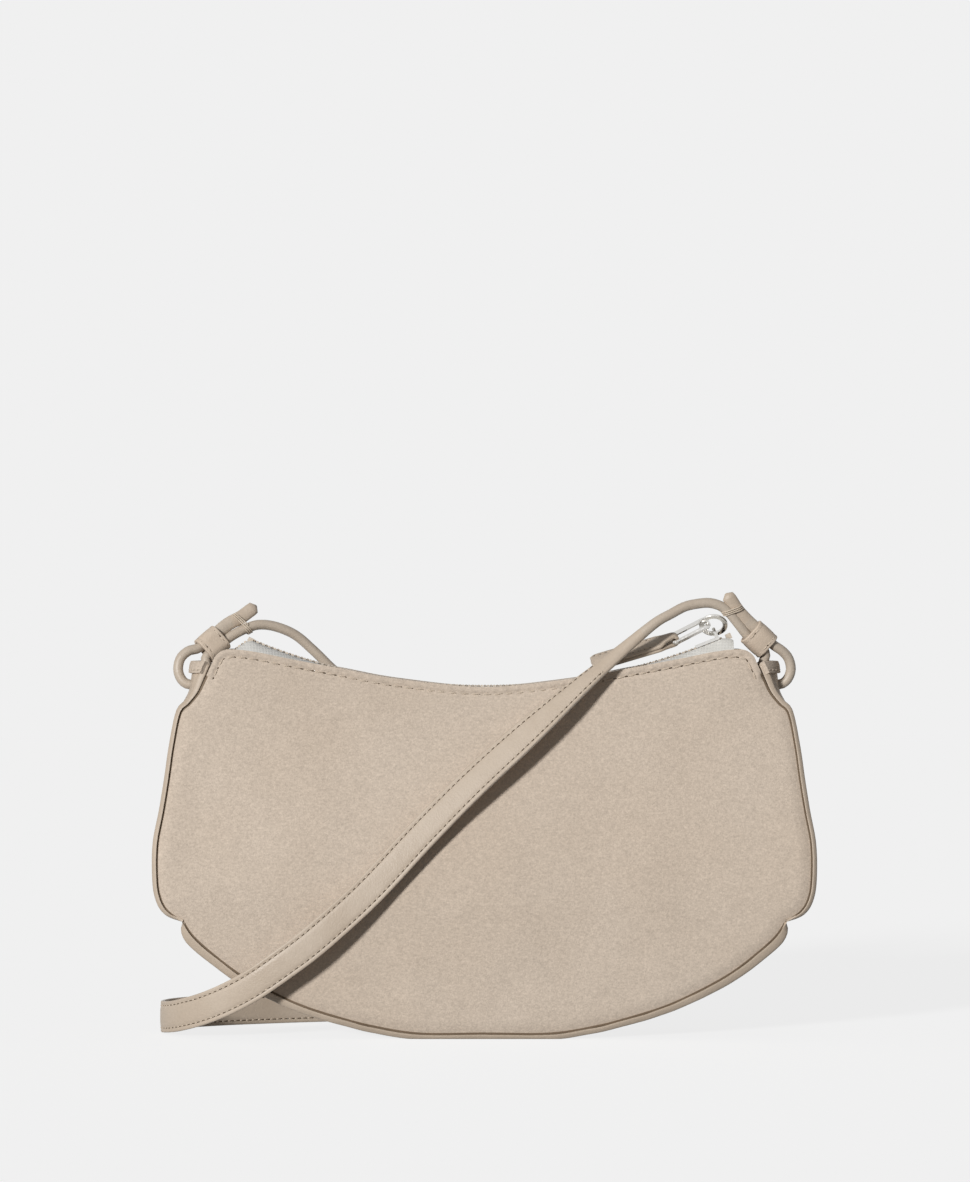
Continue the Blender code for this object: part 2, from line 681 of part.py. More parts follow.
def make_lining():
    """The sewn lining, one bag that is open at its top."""
    grid = patch(LINING_INSET, LINING_COLUMNS, LINING_ROWS, LINING_TOP_SHARE,
                 SIDE_LINE[-1].y - SIDE_LINE[int(LINE_STEPS * LINING_TOP_SHARE)].y)
    columns = LINING_COLUMNS
    rows = LINING_ROWS
    front = panel_points(grid, -1.0, LINING_INSET)
    back = panel_points(grid, 1.0, LINING_INSET)
    points = front + back
    faces = grid_faces(columns, rows)
    faces += grid_faces(columns, rows, flip=True, start=len(front))
    wide = columns + 1
    left = [j * wide for j in range(rows, 0, -1)]
    bottom = list(range(wide))
    right = [j * wide + columns for j in range(1, rows + 1)]
    rim = left + bottom + right
    ladder = []
    for index in rim:
        line = [index]
        for across in LINING_ACROSS_SHARES[1:-1]:
            share = (across + 1.0) / 2.0
            points.append(front[index].lerp(back[index], share))
            line.append(len(points) - 1)
        line.append(index + len(front))
        ladder.append(line)
    for a, b in zip(ladder, ladder[1:]):
        for k in range(len(a) - 1):
            faces.append((a[k], a[k + 1], b[k + 1], b[k]))
    lining = add_mesh("lining", points, faces, FABRIC)
    solidify(lining, LINING_THICK)


def make_base_board():
    """The stiff board on the base gusset, bent to the seam line."""
    seam = smooth_line(mirrored(outline(BOTTOM_SHARES)), LINE_STEPS)
    seam = [place for place in seam if abs(place.x) <= BOARD_HALF_LENGTH]
    seam = smooth_line(seam, BOARD_SEGMENTS)
    points = []
    for place, normal in zip(seam, normals_2d(seam)):
        for y in (-BOARD_HALF_WIDTH, BOARD_HALF_WIDTH):
            points.append(Vector((place.x, y, place.y)))
    board = add_mesh("base_board", points, grid_faces(1, BOARD_SEGMENTS), BOARD)
    solidify(board, BOARD_THICK)


def make_facings():
    """The strips inside the mouth that carry the zip tapes."""
    segments = FACING_SEGMENTS
    outer = MOUTH_HALF_DEPTH - PANEL_THICK - 2.0 * SEAM_GAP - TAPE_THICK
    for name, side in (("facing_front", -1.0), ("facing_back", 1.0)):
        points = []
        for drop in (FACING_DROP + FACING_HEIGHT, FACING_DROP):
            for i in range(segments + 1):
                x = FACING_HALF_LENGTH * (2.0 * i / segments - 1.0)
                points.append(Vector((x, side * (outer - SEAM_GAP), top_z(x) - drop)))
        facing = add_mesh(name, points, grid_faces(segments, 1, flip=side > 0.0), SUEDE)
        solidify(facing, FACING_THICK)


def zip_frame(x):
    """Place, run and upward normal of the zip line at a place along the width."""
    angle = math.asin(x / ZIP_RADIUS)
    centre = Vector((0.0, 0.0, ZIP_LOW_Z + ZIP_RADIUS))
    place = centre + Vector((math.sin(angle), 0.0, -math.cos(angle))) * ZIP_RADIUS
    run = Vector((math.cos(angle), 0.0, math.sin(angle)))
    up = Vector((-math.sin(angle), 0.0, math.cos(angle)))
    return place, run, up


def tape_z(x):
    """Height of the tapes' inner edges, which droop past both ends of the teeth."""
    left = max((DROOP_LEFT_X - x) / (DROOP_LEFT_X - TAPE_LEFT_X), 0.0)
    right = max((x - DROOP_RIGHT_X) / (TAPE_RIGHT_X - DROOP_RIGHT_X), 0.0)
    held = min(max(x, DROOP_LEFT_X), DROOP_RIGHT_X)
    return zip_frame(held)[0].z - DROOP_LEFT * left - DROOP_RIGHT * right


def make_tapes():
    """The woven tapes, from the teeth to a leg between the panel and the facing."""
    leg_outer = MOUTH_HALF_DEPTH - PANEL_THICK - SEAM_GAP
    leg_inner = leg_outer - TAPE_THICK
    flat_y = SLIDER_HALF_WIDTH + SLIDER_CLEARANCE
    for name, side in (("zip_tape_front", -1.0), ("zip_tape_back", 1.0)):
        rings = []
        reach = DROOP_RIGHT_X - DROOP_LEFT_X
        stations = [DROOP_LEFT_X + reach * i / TAPE_STATIONS for i in range(TAPE_STATIONS + 1)]
        for x in [TAPE_LEFT_X] + stations + [TAPE_RIGHT_X]:
            z = tape_z(x)
            shelf = top_z(x) - SEAM_GAP
            half = TAPE_THICK / 2.0
            section = [
                (TAPE_INNER_Y, z + half), (flat_y, z + half), (leg_outer, shelf),
                (leg_outer, shelf - TAPE_LEG), (leg_inner, shelf - TAPE_LEG),
                (leg_inner, shelf - TAPE_THICK), (flat_y, z - half), (TAPE_INNER_Y, z - half),
            ]
            rings.append([Vector((x, side * y, height)) for y, height in section])
        add_loft(name, rings, TAPE)


def add_bar(name, x, low_y, high_y, length, height):
    """A small metal block across the zip line, square to it."""
    place, run, up = zip_frame(x)
    rings = []
    for step in (-0.5, 0.5):
        middle = place + run * (step * length)
        ring = []
        for y, rise in ((low_y, -0.5), (high_y, -0.5), (high_y, 0.5), (low_y, 0.5)):
            ring.append(middle + Vector((0.0, y, 0.0)) + up * (rise * height))
        rings.append(ring)
    add_loft(name, rings, METAL, smooth=False)


def make_teeth():
    """The two rows of teeth on their cords, each row shifted by half a pitch."""
    first = math.asin(TEETH_LEFT_X / ZIP_RADIUS) * ZIP_RADIUS
    last = math.asin(TEETH_RIGHT_X / ZIP_RADIUS) * ZIP_RADIUS
    steps = 2 * int((last - first) / TOOTH_PITCH)
    for name, side, shift in (("zip_teeth_front", -1.0, 0), ("zip_teeth_back", 1.0, 1)):
        rings = []
        for k in range(steps):
            arc = first + k * TOOTH_PITCH / 2.0
            place, _, up = zip_frame(ZIP_RADIUS * math.sin(arc / ZIP_RADIUS))
            inner = TOOTH_INNER_Y if (k + shift) % 2 == 0 else TOOTH_CORD_Y
            ring = []
            for y, rise in ((inner, -0.5), (TOOTH_OUTER_Y, -0.5), (TOOTH_OUTER_Y, 0.5),
                            (inner, 0.5)):
                ring.append(place + Vector((0.0, side * y, 0.0)) + up * (rise * TOOTH_HEIGHT))
            rings.append(ring)
        add_loft(name, rings, METAL, smooth=False)


def make_stops():
    """The stops at both ends of the zip."""
    left_x = TEETH_LEFT_X - STOP_GAP - STOP_LENGTH / 2.0
    right_x = TEETH_RIGHT_X + STOP_GAP + STOP_LENGTH / 2.0
    add_bar("zip_stop_bottom", left_x, -TOOTH_OUTER_Y, TOOTH_OUTER_Y, STOP_LENGTH, STOP_HEIGHT)
    for name, low_y, high_y in (("zip_stop_top_front", -TOOTH_OUTER_Y, -TOOTH_INNER_Y),
                                ("zip_stop_top_back", TOOTH_INNER_Y, TOOTH_OUTER_Y)):
        add_bar(name, right_x, low_y, high_y, STOP_LENGTH, STOP_HEIGHT)


def make_slider():
    """The slider: two plates round the teeth, a thin web between them, and a bail."""
    place, run, up = zip_frame(SLIDER_REST_X)
    across = Vector((0.0, 1.0, 0.0))
    inner = TOOTH_HEIGHT / 2.0 + SLIDER_CLEARANCE
    outer = inner + SLIDER_PLATE
    lip = TAPE_THICK / 2.0 + SLIDER_CLEARANCE
    w = SLIDER_HALF_WIDTH
    f = SLIDER_HALF_WIDTH - SLIDER_FLANGE
    web = SLIDER_WEB / 2.0
    right = [(w, -outer), (w, -lip), (f, -lip), (f, -inner), (web, -inner)]
    right += [(y, -z) for y, z in reversed(right)]
    left = [(-y, z) for y, z in reversed(right)]
    section = right + left
    rings = []
    for step in (-1.0, 1.0):
        ring = []
        for y, z in section:
            ring.append(place + run * (step * SLIDER_HALF_LENGTH) + across * y + up * z)
        rings.append(ring)
    body = add_loft("zip_slider", rings, METAL)
    set_origin(body, Vector((0.0, 0.0, ZIP_LOW_Z + ZIP_RADIUS)))
    rest = outer - BAIL_WIRE / 2.0
    arch = [
        (-BAIL_HALF_SPAN, rest), (-BAIL_HALF_SPAN, outer + BAIL_RISE * BAIL_LEG_SHARE),
        (-BAIL_HALF_SPAN * BAIL_TOP_SHARE, outer + BAIL_RISE),
        (BAIL_HALF_SPAN * BAIL_TOP_SHARE, outer + BAIL_RISE),
        (BAIL_HALF_SPAN, outer + BAIL_RISE * BAIL_LEG_SHARE), (BAIL_HALF_SPAN, rest),
    ]
    foot = place + run * BAIL_SHIFT
    bail = add_tube("bail", [foot + across * y + up * z for y, z in arch], BAIL_WIRE, METAL)
    bail = curve_to_mesh(bail)
    join = body.modifiers.new("bail", "BOOLEAN")
    join.operation = "UNION"
    join.solver = "EXACT"
    join.object = bail
    COLLECTIONS["crossbody_bag"].objects.unlink(bail)
    COLLECTIONS["cutters"].objects.link(bail)
    bail.hide_render = True
    bail.display_type = "WIRE"
    return foot + up * (outer + BAIL_RISE)


def add_tube(name, points, radius, spec, closed=False):
    """A round wire or cord along a line of points."""
    curve = bpy.data.curves.new(name, "CURVE")
    curve.dimensions = "3D"
    spline = curve.splines.new("POLY")
    spline.points.add(len(points) - 1)
    for slot, point in zip(spline.points, points):
        slot.co = (*point, 1.0)
    spline.use_cyclic_u = closed
    curve.bevel_depth = radius
    curve.bevel_resolution = 2
    curve.use_fill_caps = not closed
    curve.materials.append(material(spec))
    obj = bpy.data.objects.new(name, curve)
    COLLECTIONS["crossbody_bag"].objects.link(obj)
    return obj


def make_ring(pivot):
    """The flat round ring in the bail, leaning forward. Returns its centre."""
    rise = Vector((0.0, math.sin(RING_LEAN), math.cos(RING_LEAN)))
    face = Vector((0.0, math.cos(RING_LEAN), -math.sin(RING_LEAN)))
    half = RING_THICK / 2.0
    under = (BAIL_WIRE + BAIL_PLAY + half * abs(math.sin(RING_LEAN))) / math.cos(RING_LEAN)
    centre = pivot + rise * (RING_INNER - under)
    e = RING_EDGE
    profile = [
        (RING_INNER, half - e), (RING_INNER, e - half), (RING_INNER + e, -half),
        (RING_OUTER - e, -half), (RING_OUTER, e - half), (RING_OUTER, half - e),
        (RING_OUTER - e, half), (RING_INNER + e, half),
    ]
    rings = []
    for k in range(RING_SIDES):
        angle = 2.0 * math.pi * k / RING_SIDES
        out = Vector((math.cos(angle), 0.0, 0.0)) + rise * math.sin(angle)
        rings.append([centre + out * r + face * y for r, y in profile])
    set_origin(add_loft("pull_ring", rings, METAL, closed=True), pivot)
    return centre


def oval_points(length, width, steps):
    """A closed oval of two straight sides and two half rounds, centred on zero."""
    radius = width / 2.0
    straight = length / 2.0 - radius
    points = []
    for end in (1.0, -1.0):
        for k in range(steps + 1):
            angle = math.pi * k / steps - math.pi / 2.0
            points.append(Vector((end * (straight + radius * math.cos(angle)),
                                  end * radius * math.sin(angle), 0.0)))
    return points


def link_points(length, width, corner, steps):
    """A closed line round a rectangle with round corners, centred on zero."""
    points = []
    for quarter, (x, y) in enumerate(((1.0, 1.0), (-1.0, 1.0), (-1.0, -1.0), (1.0, -1.0))):
        for k in range(steps + 1):
            angle = math.pi / 2.0 * (quarter + k / steps)
            points.append(Vector((x * (length / 2.0 - corner) + corner * math.cos(angle),
                                  y * (width / 2.0 - corner) + corner * math.sin(angle), 0.0)))
    return points


def make_link(ring_centre):
    """The long link on the ring. Returns its hinge, and its far bar's place and run."""
    run = Vector((-math.cos(LINK_SLOPE), 0.0, math.sin(LINK_SLOPE)))
    hinge = ring_centre - Vector(((RING_INNER + RING_OUTER) / 2.0, 0.0, 0.0))
    reach = (RING_OUTER - RING_INNER) / 2.0 + LINK_WIRE + PULL_PLAY
    near = hinge - run * reach
    centre = near + run * (LINK_LENGTH / 2.0 - LINK_WIRE)
    level = Vector((0.0, 1.0, 0.0))
    side = level * math.cos(LINK_ROLL) + run.cross(level) * math.sin(LINK_ROLL)
    line = link_points(LINK_LENGTH - 2.0 * LINK_WIRE, LINK_WIDTH - 2.0 * LINK_WIRE,
                       LINK_CORNER, LINK_CORNER_STEPS)
    points = [centre + run * p.x + side * p.y for p in line]
    link = curve_to_mesh(add_tube("pull_link", points, LINK_WIRE, METAL, closed=True))
    set_origin(link, hinge)
    far = centre + run * (LINK_LENGTH / 2.0 - LINK_WIRE)
    return hinge, far, side


def make_tab(far, side):
    """The leather strip folded round the link's far bar, narrow where it folds."""
    run = Vector((-math.cos(TAB_SLOPE), 0.0, math.sin(TAB_SLOPE)))
    run = (run - side * run.dot(side)).normalized()
    up = side.cross(run)
    fold = LINK_WIRE + PULL_PLAY + TAB_LEATHER / 2.0
    close = (TAB_LEATHER + SEAM_GAP) / 2.0
    path = [(TAB_LENGTH, close), (TAB_LENGTH / 2.0, close), (TAB_NECK_LENGTH, close),
            (TAB_NECK_LENGTH * TAB_NECK_SHARE, (close + fold) / 2.0)]
    for k in range(TAB_FOLD_STEPS + 1):
        angle = math.pi / 2.0 + math.pi * k / TAB_FOLD_STEPS
        path.append((fold * math.cos(angle), fold * math.sin(angle)))
    path += [(a, -b) for a, b in reversed(path[:TAB_LEG_PLACES])]
    places = [far + run * a + up * b for a, b in path]
    rings = []
    for i, (place, (reach, _)) in enumerate(zip(places, path)):
        along = (places[min(i + 1, len(places) - 1)] - places[max(i - 1, 0)]).normalized()
        face = side.cross(along)
        share = min(max((reach - TAB_NECK_START) / (TAB_NECK_LENGTH - TAB_NECK_START), 0.0), 1.0)
        width = (TAB_NECK_WIDTH + (TAB_WIDTH - TAB_NECK_WIDTH) * share) / 2.0
        thick = TAB_LEATHER / 2.0
        rings.append([place - side * width - face * thick, place + side * width - face * thick,
                      place + side * width + face * thick, place - side * width + face * thick])
    set_origin(add_loft("pull_tab", rings, LEATHER), far)


def on_body(point):
    """A route's point, stretched with the body."""
    x, y, z = point
    return Vector((x * HALF_WIDTH / ROUTE_HALF_WIDTH, y, z * BODY_HEIGHT / ROUTE_BODY_HEIGHT))


def blend_frames(places, widths, count):
    """Even steps along the strap: place, run, width direction and face direction."""
    line = smooth_line(places, count)
    marks = [0.0]
    for a, b in zip(places, places[1:]):
        marks.append(marks[-1] + (b - a).length)
    total = marks[-1]
    frames = []
    j = 0
    for i, place in enumerate(line):
        want = total * i / count
        while j < len(marks) - 2 and marks[j + 1] < want:
            j += 1
        share = (want - marks[j]) / (marks[j + 1] - marks[j])
        run = (line[min(i + 1, count)] - line[max(i - 1, 0)]).normalized()
        width = Vector(widths[j]).lerp(Vector(widths[j + 1]), min(share, 1.0))
        width = (width - run * width.dot(run)).normalized()
        frames.append((place, run, width, run.cross(width)))
    return frames


def make_strap():
    """The long flat strap, round where it meets its rolled ends."""
    places = [on_body(place) for place, _ in STRAP_ROUTE]
    widths = [width for _, width in STRAP_ROUTE]
    rough = line_length(places)
    count = int(rough / STRAP_STEP)
    frames = blend_frames(places, widths, count)
    rings = []
    for i, (place, _, width, face) in enumerate(frames):
        along = rough * i / count
        flat = min(along - ROLLED_RIGHT_LENGTH, rough - along - ROLLED_LEFT_LENGTH)
        share = min(max(flat / ROLLED_TAPER_LENGTH, 0.0), 1.0)
        half_width = CORD_RADIUS + (STRAP_WIDTH / 2.0 - CORD_RADIUS) * share
        half_thick = CORD_RADIUS + (STRAP_THICK / 2.0 - CORD_RADIUS) * share
        ring = []
        for k in range(STRAP_SIDES):
            angle = 2.0 * math.pi * (k + 0.5) / STRAP_SIDES
            c = math.cos(angle)
            s = math.sin(angle)
            bulge = 1.0 + STRAP_SQUARENESS * share
            a = half_width * max(min(c * bulge, 1.0), -1.0)
            b = half_thick * max(min(s * bulge, 1.0), -1.0)
            ring.append(place + width * a + face * b)
        rings.append(ring)
    add_loft("strap", rings, LEATHER)
    print("strap length", round(line_length([f[0] for f in frames]), 4))


def make_cord(name, route):
    """One rolled end of the strap."""
    places = [on_body(place) for place in route]
    run = (places[0] - places[1]).normalized()
    rough = line_length(places)
    points = smooth_line(places, int(rough / CORD_STEP))
    points[0] = points[0] - run * CORD_JOINT_GAP
    add_tube(name, points, CORD_RADIUS, LEATHER)
    print(name, "length", round(line_length(points), 4))
    return points


def nearest_pair(points, target):
    """The two strands of a doubled cord beside a place: centre, run and spread."""
    ordered = sorted(range(len(points)), key=lambda i: (points[i] - target).length)
    first = ordered[0]
    second = next(i for i in ordered if abs(i - first) > len(points) // STRAND_APART)
    a = points[first]
    b = points[second]
    run = (points[first + 1] - points[first - 1]).normalized()
    spread = b - a
    spread = (spread - run * spread.dot(run))
    return (a + b) / 2.0, run, spread


def make_keeper(name, points, target):
    """A leather sleeve round both strands of the doubled cord."""
    centre, run, spread = nearest_pair(points, on_body(target))
    wide = spread.length + 2.0 * CORD_RADIUS + 2.0 * KEEPER_CLEARANCE
    tall = 2.0 * CORD_RADIUS + 2.0 * KEEPER_CLEARANCE
    across = spread.normalized()
    up = run.cross(across)
    inner = oval_points(wide, tall, KEEPER_ARC_STEPS)
    outer = oval_points(wide + 2.0 * KEEPER_WALL, tall + 2.0 * KEEPER_WALL, KEEPER_ARC_STEPS)
    rings = []
    for line, step in ((outer, -0.5), (outer, 0.5), (inner, 0.5), (inner, -0.5)):
        rings.append([centre + run * (step * KEEPER_LENGTH) + across * p.x + up * p.y
                      for p in line])
    set_origin(add_loft(name, rings, LEATHER, closed=True), centre)
    print(name, [round(v, 4) for v in centre], [round(v, 4) for v in run],
          "spread", round(spread.length, 4))


def make_tie(name, points, target):
    """Turns of thread round both strands."""
    centre, run, spread = nearest_pair(points, on_body(target))
    gap = CORD_RADIUS + TIE_CLEARANCE + TIE_WIRE
    across = spread.normalized()
    up = run.cross(across)
    line = oval_points(spread.length + 2.0 * gap, 2.0 * gap, TIE_ARC_STEPS)
    loop = []
    for k in range(TIE_TURNS * len(line)):
        shift = (k / len(line) - TIE_TURNS / 2.0) * TIE_PITCH
        p = line[k % len(line)]
        loop.append(centre + run * shift + across * p.x + up * p.y)
    add_tube(name, loop, TIE_WIRE, THREAD)


def make_ends():
    """The rolled ends with their keepers and thread ties."""
    right = make_cord("strap_cord_right", CORD_ROUTE_RIGHT)
    left = make_cord("strap_cord_left", CORD_ROUTE_LEFT)
    make_keeper("keeper_right", right, KEEPER_RIGHT_AT)
    make_keeper("keeper_left", left, KEEPER_LEFT_AT)
    make_tie("thread_tie_right", right, TIE_RIGHT_AT)
    make_tie("thread_tie_left", left, TIE_LEFT_AT)


def main():
    make_panels()
    make_base_gusset()
    make_side_gussets()
    make_lining()
    make_base_board()
    make_facings()
    make_tapes()
    make_teeth()
    make_stops()
    pivot = make_slider()
    ring_centre = make_ring(pivot)
    link_hinge, far, tab_axis = make_link(ring_centre)
    make_tab(far, tab_axis)
    make_strap()
    make_ends()
    print("zip centre", [0.0, 0.0, round(ZIP_LOW_Z + ZIP_RADIUS, 5)])
    print("bail pivot", [round(v, 5) for v in pivot])
    print("ring centre", [round(v, 5) for v in ring_centre])
    print("link hinge", [round(v, 5) for v in link_hinge])
    print("tab hinge", [round(v, 5) for v in far], [round(v, 4) for v in tab_axis])


main()
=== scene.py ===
import math

import bmesh
import bpy
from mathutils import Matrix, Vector, noise


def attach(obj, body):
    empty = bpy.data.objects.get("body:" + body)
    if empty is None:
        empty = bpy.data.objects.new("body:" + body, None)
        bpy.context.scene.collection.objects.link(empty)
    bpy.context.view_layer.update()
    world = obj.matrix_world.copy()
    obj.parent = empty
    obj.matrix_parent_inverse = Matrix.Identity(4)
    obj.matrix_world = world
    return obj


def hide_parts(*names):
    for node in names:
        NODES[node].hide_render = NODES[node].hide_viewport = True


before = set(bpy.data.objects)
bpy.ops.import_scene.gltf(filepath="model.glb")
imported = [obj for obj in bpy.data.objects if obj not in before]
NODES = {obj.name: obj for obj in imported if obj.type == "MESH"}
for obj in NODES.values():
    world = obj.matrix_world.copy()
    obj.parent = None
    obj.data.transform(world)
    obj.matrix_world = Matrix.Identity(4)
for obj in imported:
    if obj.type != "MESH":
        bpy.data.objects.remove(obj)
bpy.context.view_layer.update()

# The photograph's frame, in metres at the bag
CAMERA_DISTANCE = 2.0
CAMERA_PLANE_Y = -0.020
CAMERA_X = 0.0002
CAMERA_Z = 0.1779
FRAME_HEIGHT = 0.4704
SENSOR_HEIGHT = 36.0

# Body, as in the CAD, with all lengths in metres
HALF_WIDTH = 0.1303
BODY_HEIGHT = 0.1546
BASE_HALF_DEPTH = 0.0260
MOUTH_HALF_DEPTH = 0.0125
TAPER_LOW_Z = 0.323 * BODY_HEIGHT
TAPER_HIGH_Z = 0.867 * BODY_HEIGHT
PANEL_CROWN = 0.0040
PANEL_THICK = 0.0014
GUSSET_THICK = 0.0012
SEAM_GAP = 0.0003
SIDE_SEAM_GAP = 0.0005
GUSSET_SIDE_GAP = 0.0002
BASE_ROLL_MIDDLE = 0.0006
BASE_ROLL_END = 0.0026
BASE_FLAT_SHARE = 0.80
BASE_END_SHARE = 0.035
TAB_ARCH = 0.0064
TAB_ARCH_LOW_Z = 0.831 * BODY_HEIGHT
GUSSET_TOP_Z = 0.956 * BODY_HEIGHT
SIDE_SHARES = (
    (0.920, 0.301), (0.969, 0.330), (0.993, 0.372), (1.000, 0.433), (0.998, 0.505),
    (0.982, 0.582), (0.967, 0.666), (0.954, 0.750), (0.934, 0.834), (0.906, 0.860),
    (0.878, 0.889), (0.857, 0.925), (0.834, 0.967),
)
TOP_SHARES = (
    (0.000, 0.903), (0.267, 0.924), (0.442, 0.951), (0.594, 0.975), (0.700, 0.993),
    (0.770, 1.000), (0.803, 0.997), (0.825, 0.983), (0.834, 0.967),
)
BOTTOM_SHARES = (
    (0.000, 0.0125), (0.200, 0.0125), (0.340, 0.031), (0.450, 0.055), (0.556, 0.084),
    (0.650, 0.120), (0.747, 0.165), (0.826, 0.215), (0.888, 0.262), (0.920, 0.301),
)
LINE_STEPS = 400
FINE_STEPS = 24

# Panels
PANEL_POINTS = 720
PANEL_RINGS = 34
PANEL_EDGE_RINGS = (0.0, 0.0003, 0.0006, 0.0009, 0.0012, 0.0015, 0.0018, 0.0021, 0.0024,
                    0.0027, 0.0030, 0.0033, 0.0036, 0.0040, 0.0045, 0.0051, 0.0058, 0.0068,
                    0.0082)
SPINE_SHARE = 0.5
SPINE_MERGE = 0.000002
EDGE_WINDOW = 8
EDGE_SHARE_MOST = 0.4
CROWN_WIDE = 0.7
CROWN_POWER = 1.5
SEAM_ROLL_WIDTH = 0.0060
SEAM_ROLL_DEPTH = 0.0014
SEAM_TUCK = 0.0001
# Rings beside the unstitched seams that are coloured darker, as painted shade for the seam's gap
SEAM_SHADE_RINGS = 2
TOPSTITCH_DROP = 0.0030
TOPSTITCH_PITCH = 0.0045
TOPSTITCH_THREAD = 0.00030
GROOVE_DEPTH = 0.00040
GROOVE_WIDTH = 0.0010
FOLD_PUFF = 0.00030
WAVE_HEIGHT = 0.0009
WAVE_SIZE = 0.045
WAVE_FADE = 0.014
RIM_BEVEL = 0.0005

# Gussets, bindings, lining and facings
BASE_START_SHARE = 0.0005
BASE_CLOSE_LENGTH = 0.0022
SIDE_START_SHARE = 0.0
SIDE_TAPER_SHARE = 0.10
GUSSET_ROLL_WIDTH = 0.0022
SEAM_RIDGE = 0.00045
SEAM_RIDGE_AT = 0.0015
SEAM_GROOVE_AT = 0.0035
SEAM_RIDGE_WIDTH = 0.0009
GUSSET_ACROSS = 36
GUSSET_ROWS = 90
BASE_SPANS = 150
LINING_INSET = 0.0019
LINING_THICK = 0.0006
LINING_TOP_SHARE = 0.865
LINING_COLUMNS = 60
LINING_ROWS = 30
LINING_SIDE_SPANS = 8
LINING_FOLD = 0.0006
LINING_ROUNDNESS = 0.8
FACING_THICK = 0.0010
FACING_HEIGHT = 0.0120
FACING_DROP = 0.0017
FACING_HALF_LENGTH = 0.744 * HALF_WIDTH
FACING_COLUMNS = 90
FACING_ROWS = 6
HOLE_Z = 0.9075 * BODY_HEIGHT
HOLE_RADIUS = 0.0028
HOLE_CUTTER_LENGTH = 0.014
BINDING_THICK = 0.0009
BINDING_HEIGHT = 0.0037
BINDING_ACROSS_SHARE = 0.97
BINDING_COLUMNS = 30
BINDING_PITCH = 0.0028
BINDING_THREAD = 0.00028
BASE_PUCKER = 0.00025
SIDE_RIPPLE = 0.0002

# Zip, curved as in the CAD
ZIP_RADIUS = 2.240 * HALF_WIDTH * HALF_WIDTH / BODY_HEIGHT
ZIP_LOW_Z = 0.901 * BODY_HEIGHT
TAPE_LEFT_X = -0.785 * HALF_WIDTH
TAPE_RIGHT_X = 0.766 * HALF_WIDTH
DROOP_LEFT_X = -0.724 * HALF_WIDTH
DROOP_RIGHT_X = 0.741 * HALF_WIDTH
DROOP_LEFT = 0.0056
DROOP_RIGHT = 0.0010
TAPE_THICK = 0.0005
TAPE_INNER_Y = 0.0029
TAPE_LEG = 0.0075
TAPE_STATIONS = 90
SLIDER_HALF_WIDTH = 0.0042
SLIDER_CLEARANCE = 0.0003
TOOTH_PITCH = 0.0025
TOOTH_HEIGHT = 0.0018
TOOTH_LENGTH = 0.00105
TOOTH_REACH = 0.0007
TOOTH_OUTER_Y = 0.0031
TOOTH_BEVEL = 0.00022
TEETH_LEFT_X = -0.776 * HALF_WIDTH
TEETH_RIGHT_X = 0.741 * HALF_WIDTH

# Pull tab, which turns on the link's far end
TAB_HINGE = (0.07552, -0.00138, 0.15828)
TAB_AXIS = (-0.2668, 0.8090, 0.5237)
LINK_WIRE = 0.00100
PULL_PLAY = 0.0004
TAB_LENGTH = 0.0340
TAB_WIDTH = 0.0080
TAB_LEATHER = 0.0013
TAB_SLOPE = math.radians(-11.0)
TAB_NECK_WIDTH = 0.0030
TAB_NECK_START = 0.0016
TAB_NECK_LENGTH = 0.0060
TAB_NECK_SHARE = 0.6
TAB_TIP_LENGTH = 0.003
TAB_TIP_NARROW = 0.35
TAB_STEPS = 24
TAB_STITCH_START = 0.0020
TAB_STITCH_END = 0.0015
TAB_STITCH_IN = 0.0013
TAB_PITCH = 0.0024
TAB_THREAD = 0.00022
TAB_SECTION = ((-1.0, -0.5), (-0.93, -1.0), (0.0, -1.0), (0.93, -1.0), (1.0, -0.5),
               (1.0, 0.5), (0.93, 1.0), (0.0, 1.0), (-0.93, 1.0), (-1.0, 0.5))

# Strap, with its routes in millimetres
CORD_RADIUS = 0.0020
STRAP_WIDTH = 0.0127
STRAP_THICK = 0.0020
STRAP_RING_STEP = 0.0014
ROLLED_RIGHT_LENGTH = 0.016
ROLLED_LEFT_LENGTH = 0.024
ROLLED_TAPER_LENGTH = 0.034
ROLLED_FRONT_TAPER = 0.085
STRAP_STITCH_PITCH = 0.0027
STRAP_THREAD = 0.00026
STITCH_AT = 0.717
STITCH_LIFT = 0.00004
STITCH_DIP = 0.30
STITCH_DIP_WIDTH = 0.10
STITCHED_FROM = 0.35
ROLLED_BELOW = 0.05
STRAP_PAD = 0.26
STRAP_DOME = 0.88
STRAP_SPAN = 0.985
STRAP_EDGE_SHARE = 0.10
STRAP_EDGE_DROP = 0.32
CORD_CAP_LEAST = 0.02
CORD_EDGE_LEAST = 0.06
STRAP_STITCH_FILL = 0.44
# Width of the painted-shade needle-hole discs on the strap, in thread radii
STRAP_HOLE_WIDE = 1.5
PADDLE_LENGTH = 0.0260
PADDLE_RISE = 0.0100
PADDLE_SPREAD = 0.36
PADDLE_FLAT = 0.25
PADDLE_TURN = 0.0450
TIE_LEFT_AT = (-0.0975, 0.0100, 0.1652)
TIE_RIGHT_AT = (0.1000, -0.0079, 0.1703)
TIE_TURNS = 3
TIE_PITCH = 0.00075
TIE_SLANT = 0.30
TIE_THREAD_RADIUS = 0.00028
TIE_LOOK_STEPS = 60
KEEPER_LENGTH = 0.0098
KEEPER_WALL = 0.0011
KEEPER_CLEARANCE = 0.0005
KEEPER_RIGHT_AT = (0.1102, -0.0049, 0.1587)
KEEPER_LEFT_AT = (-0.1100, 0.0046, 0.1562)


def metres(places):
    """Places in millimetres as places in metres."""
    return [Vector([value / 1000.0 for value in spot]) for spot in places]


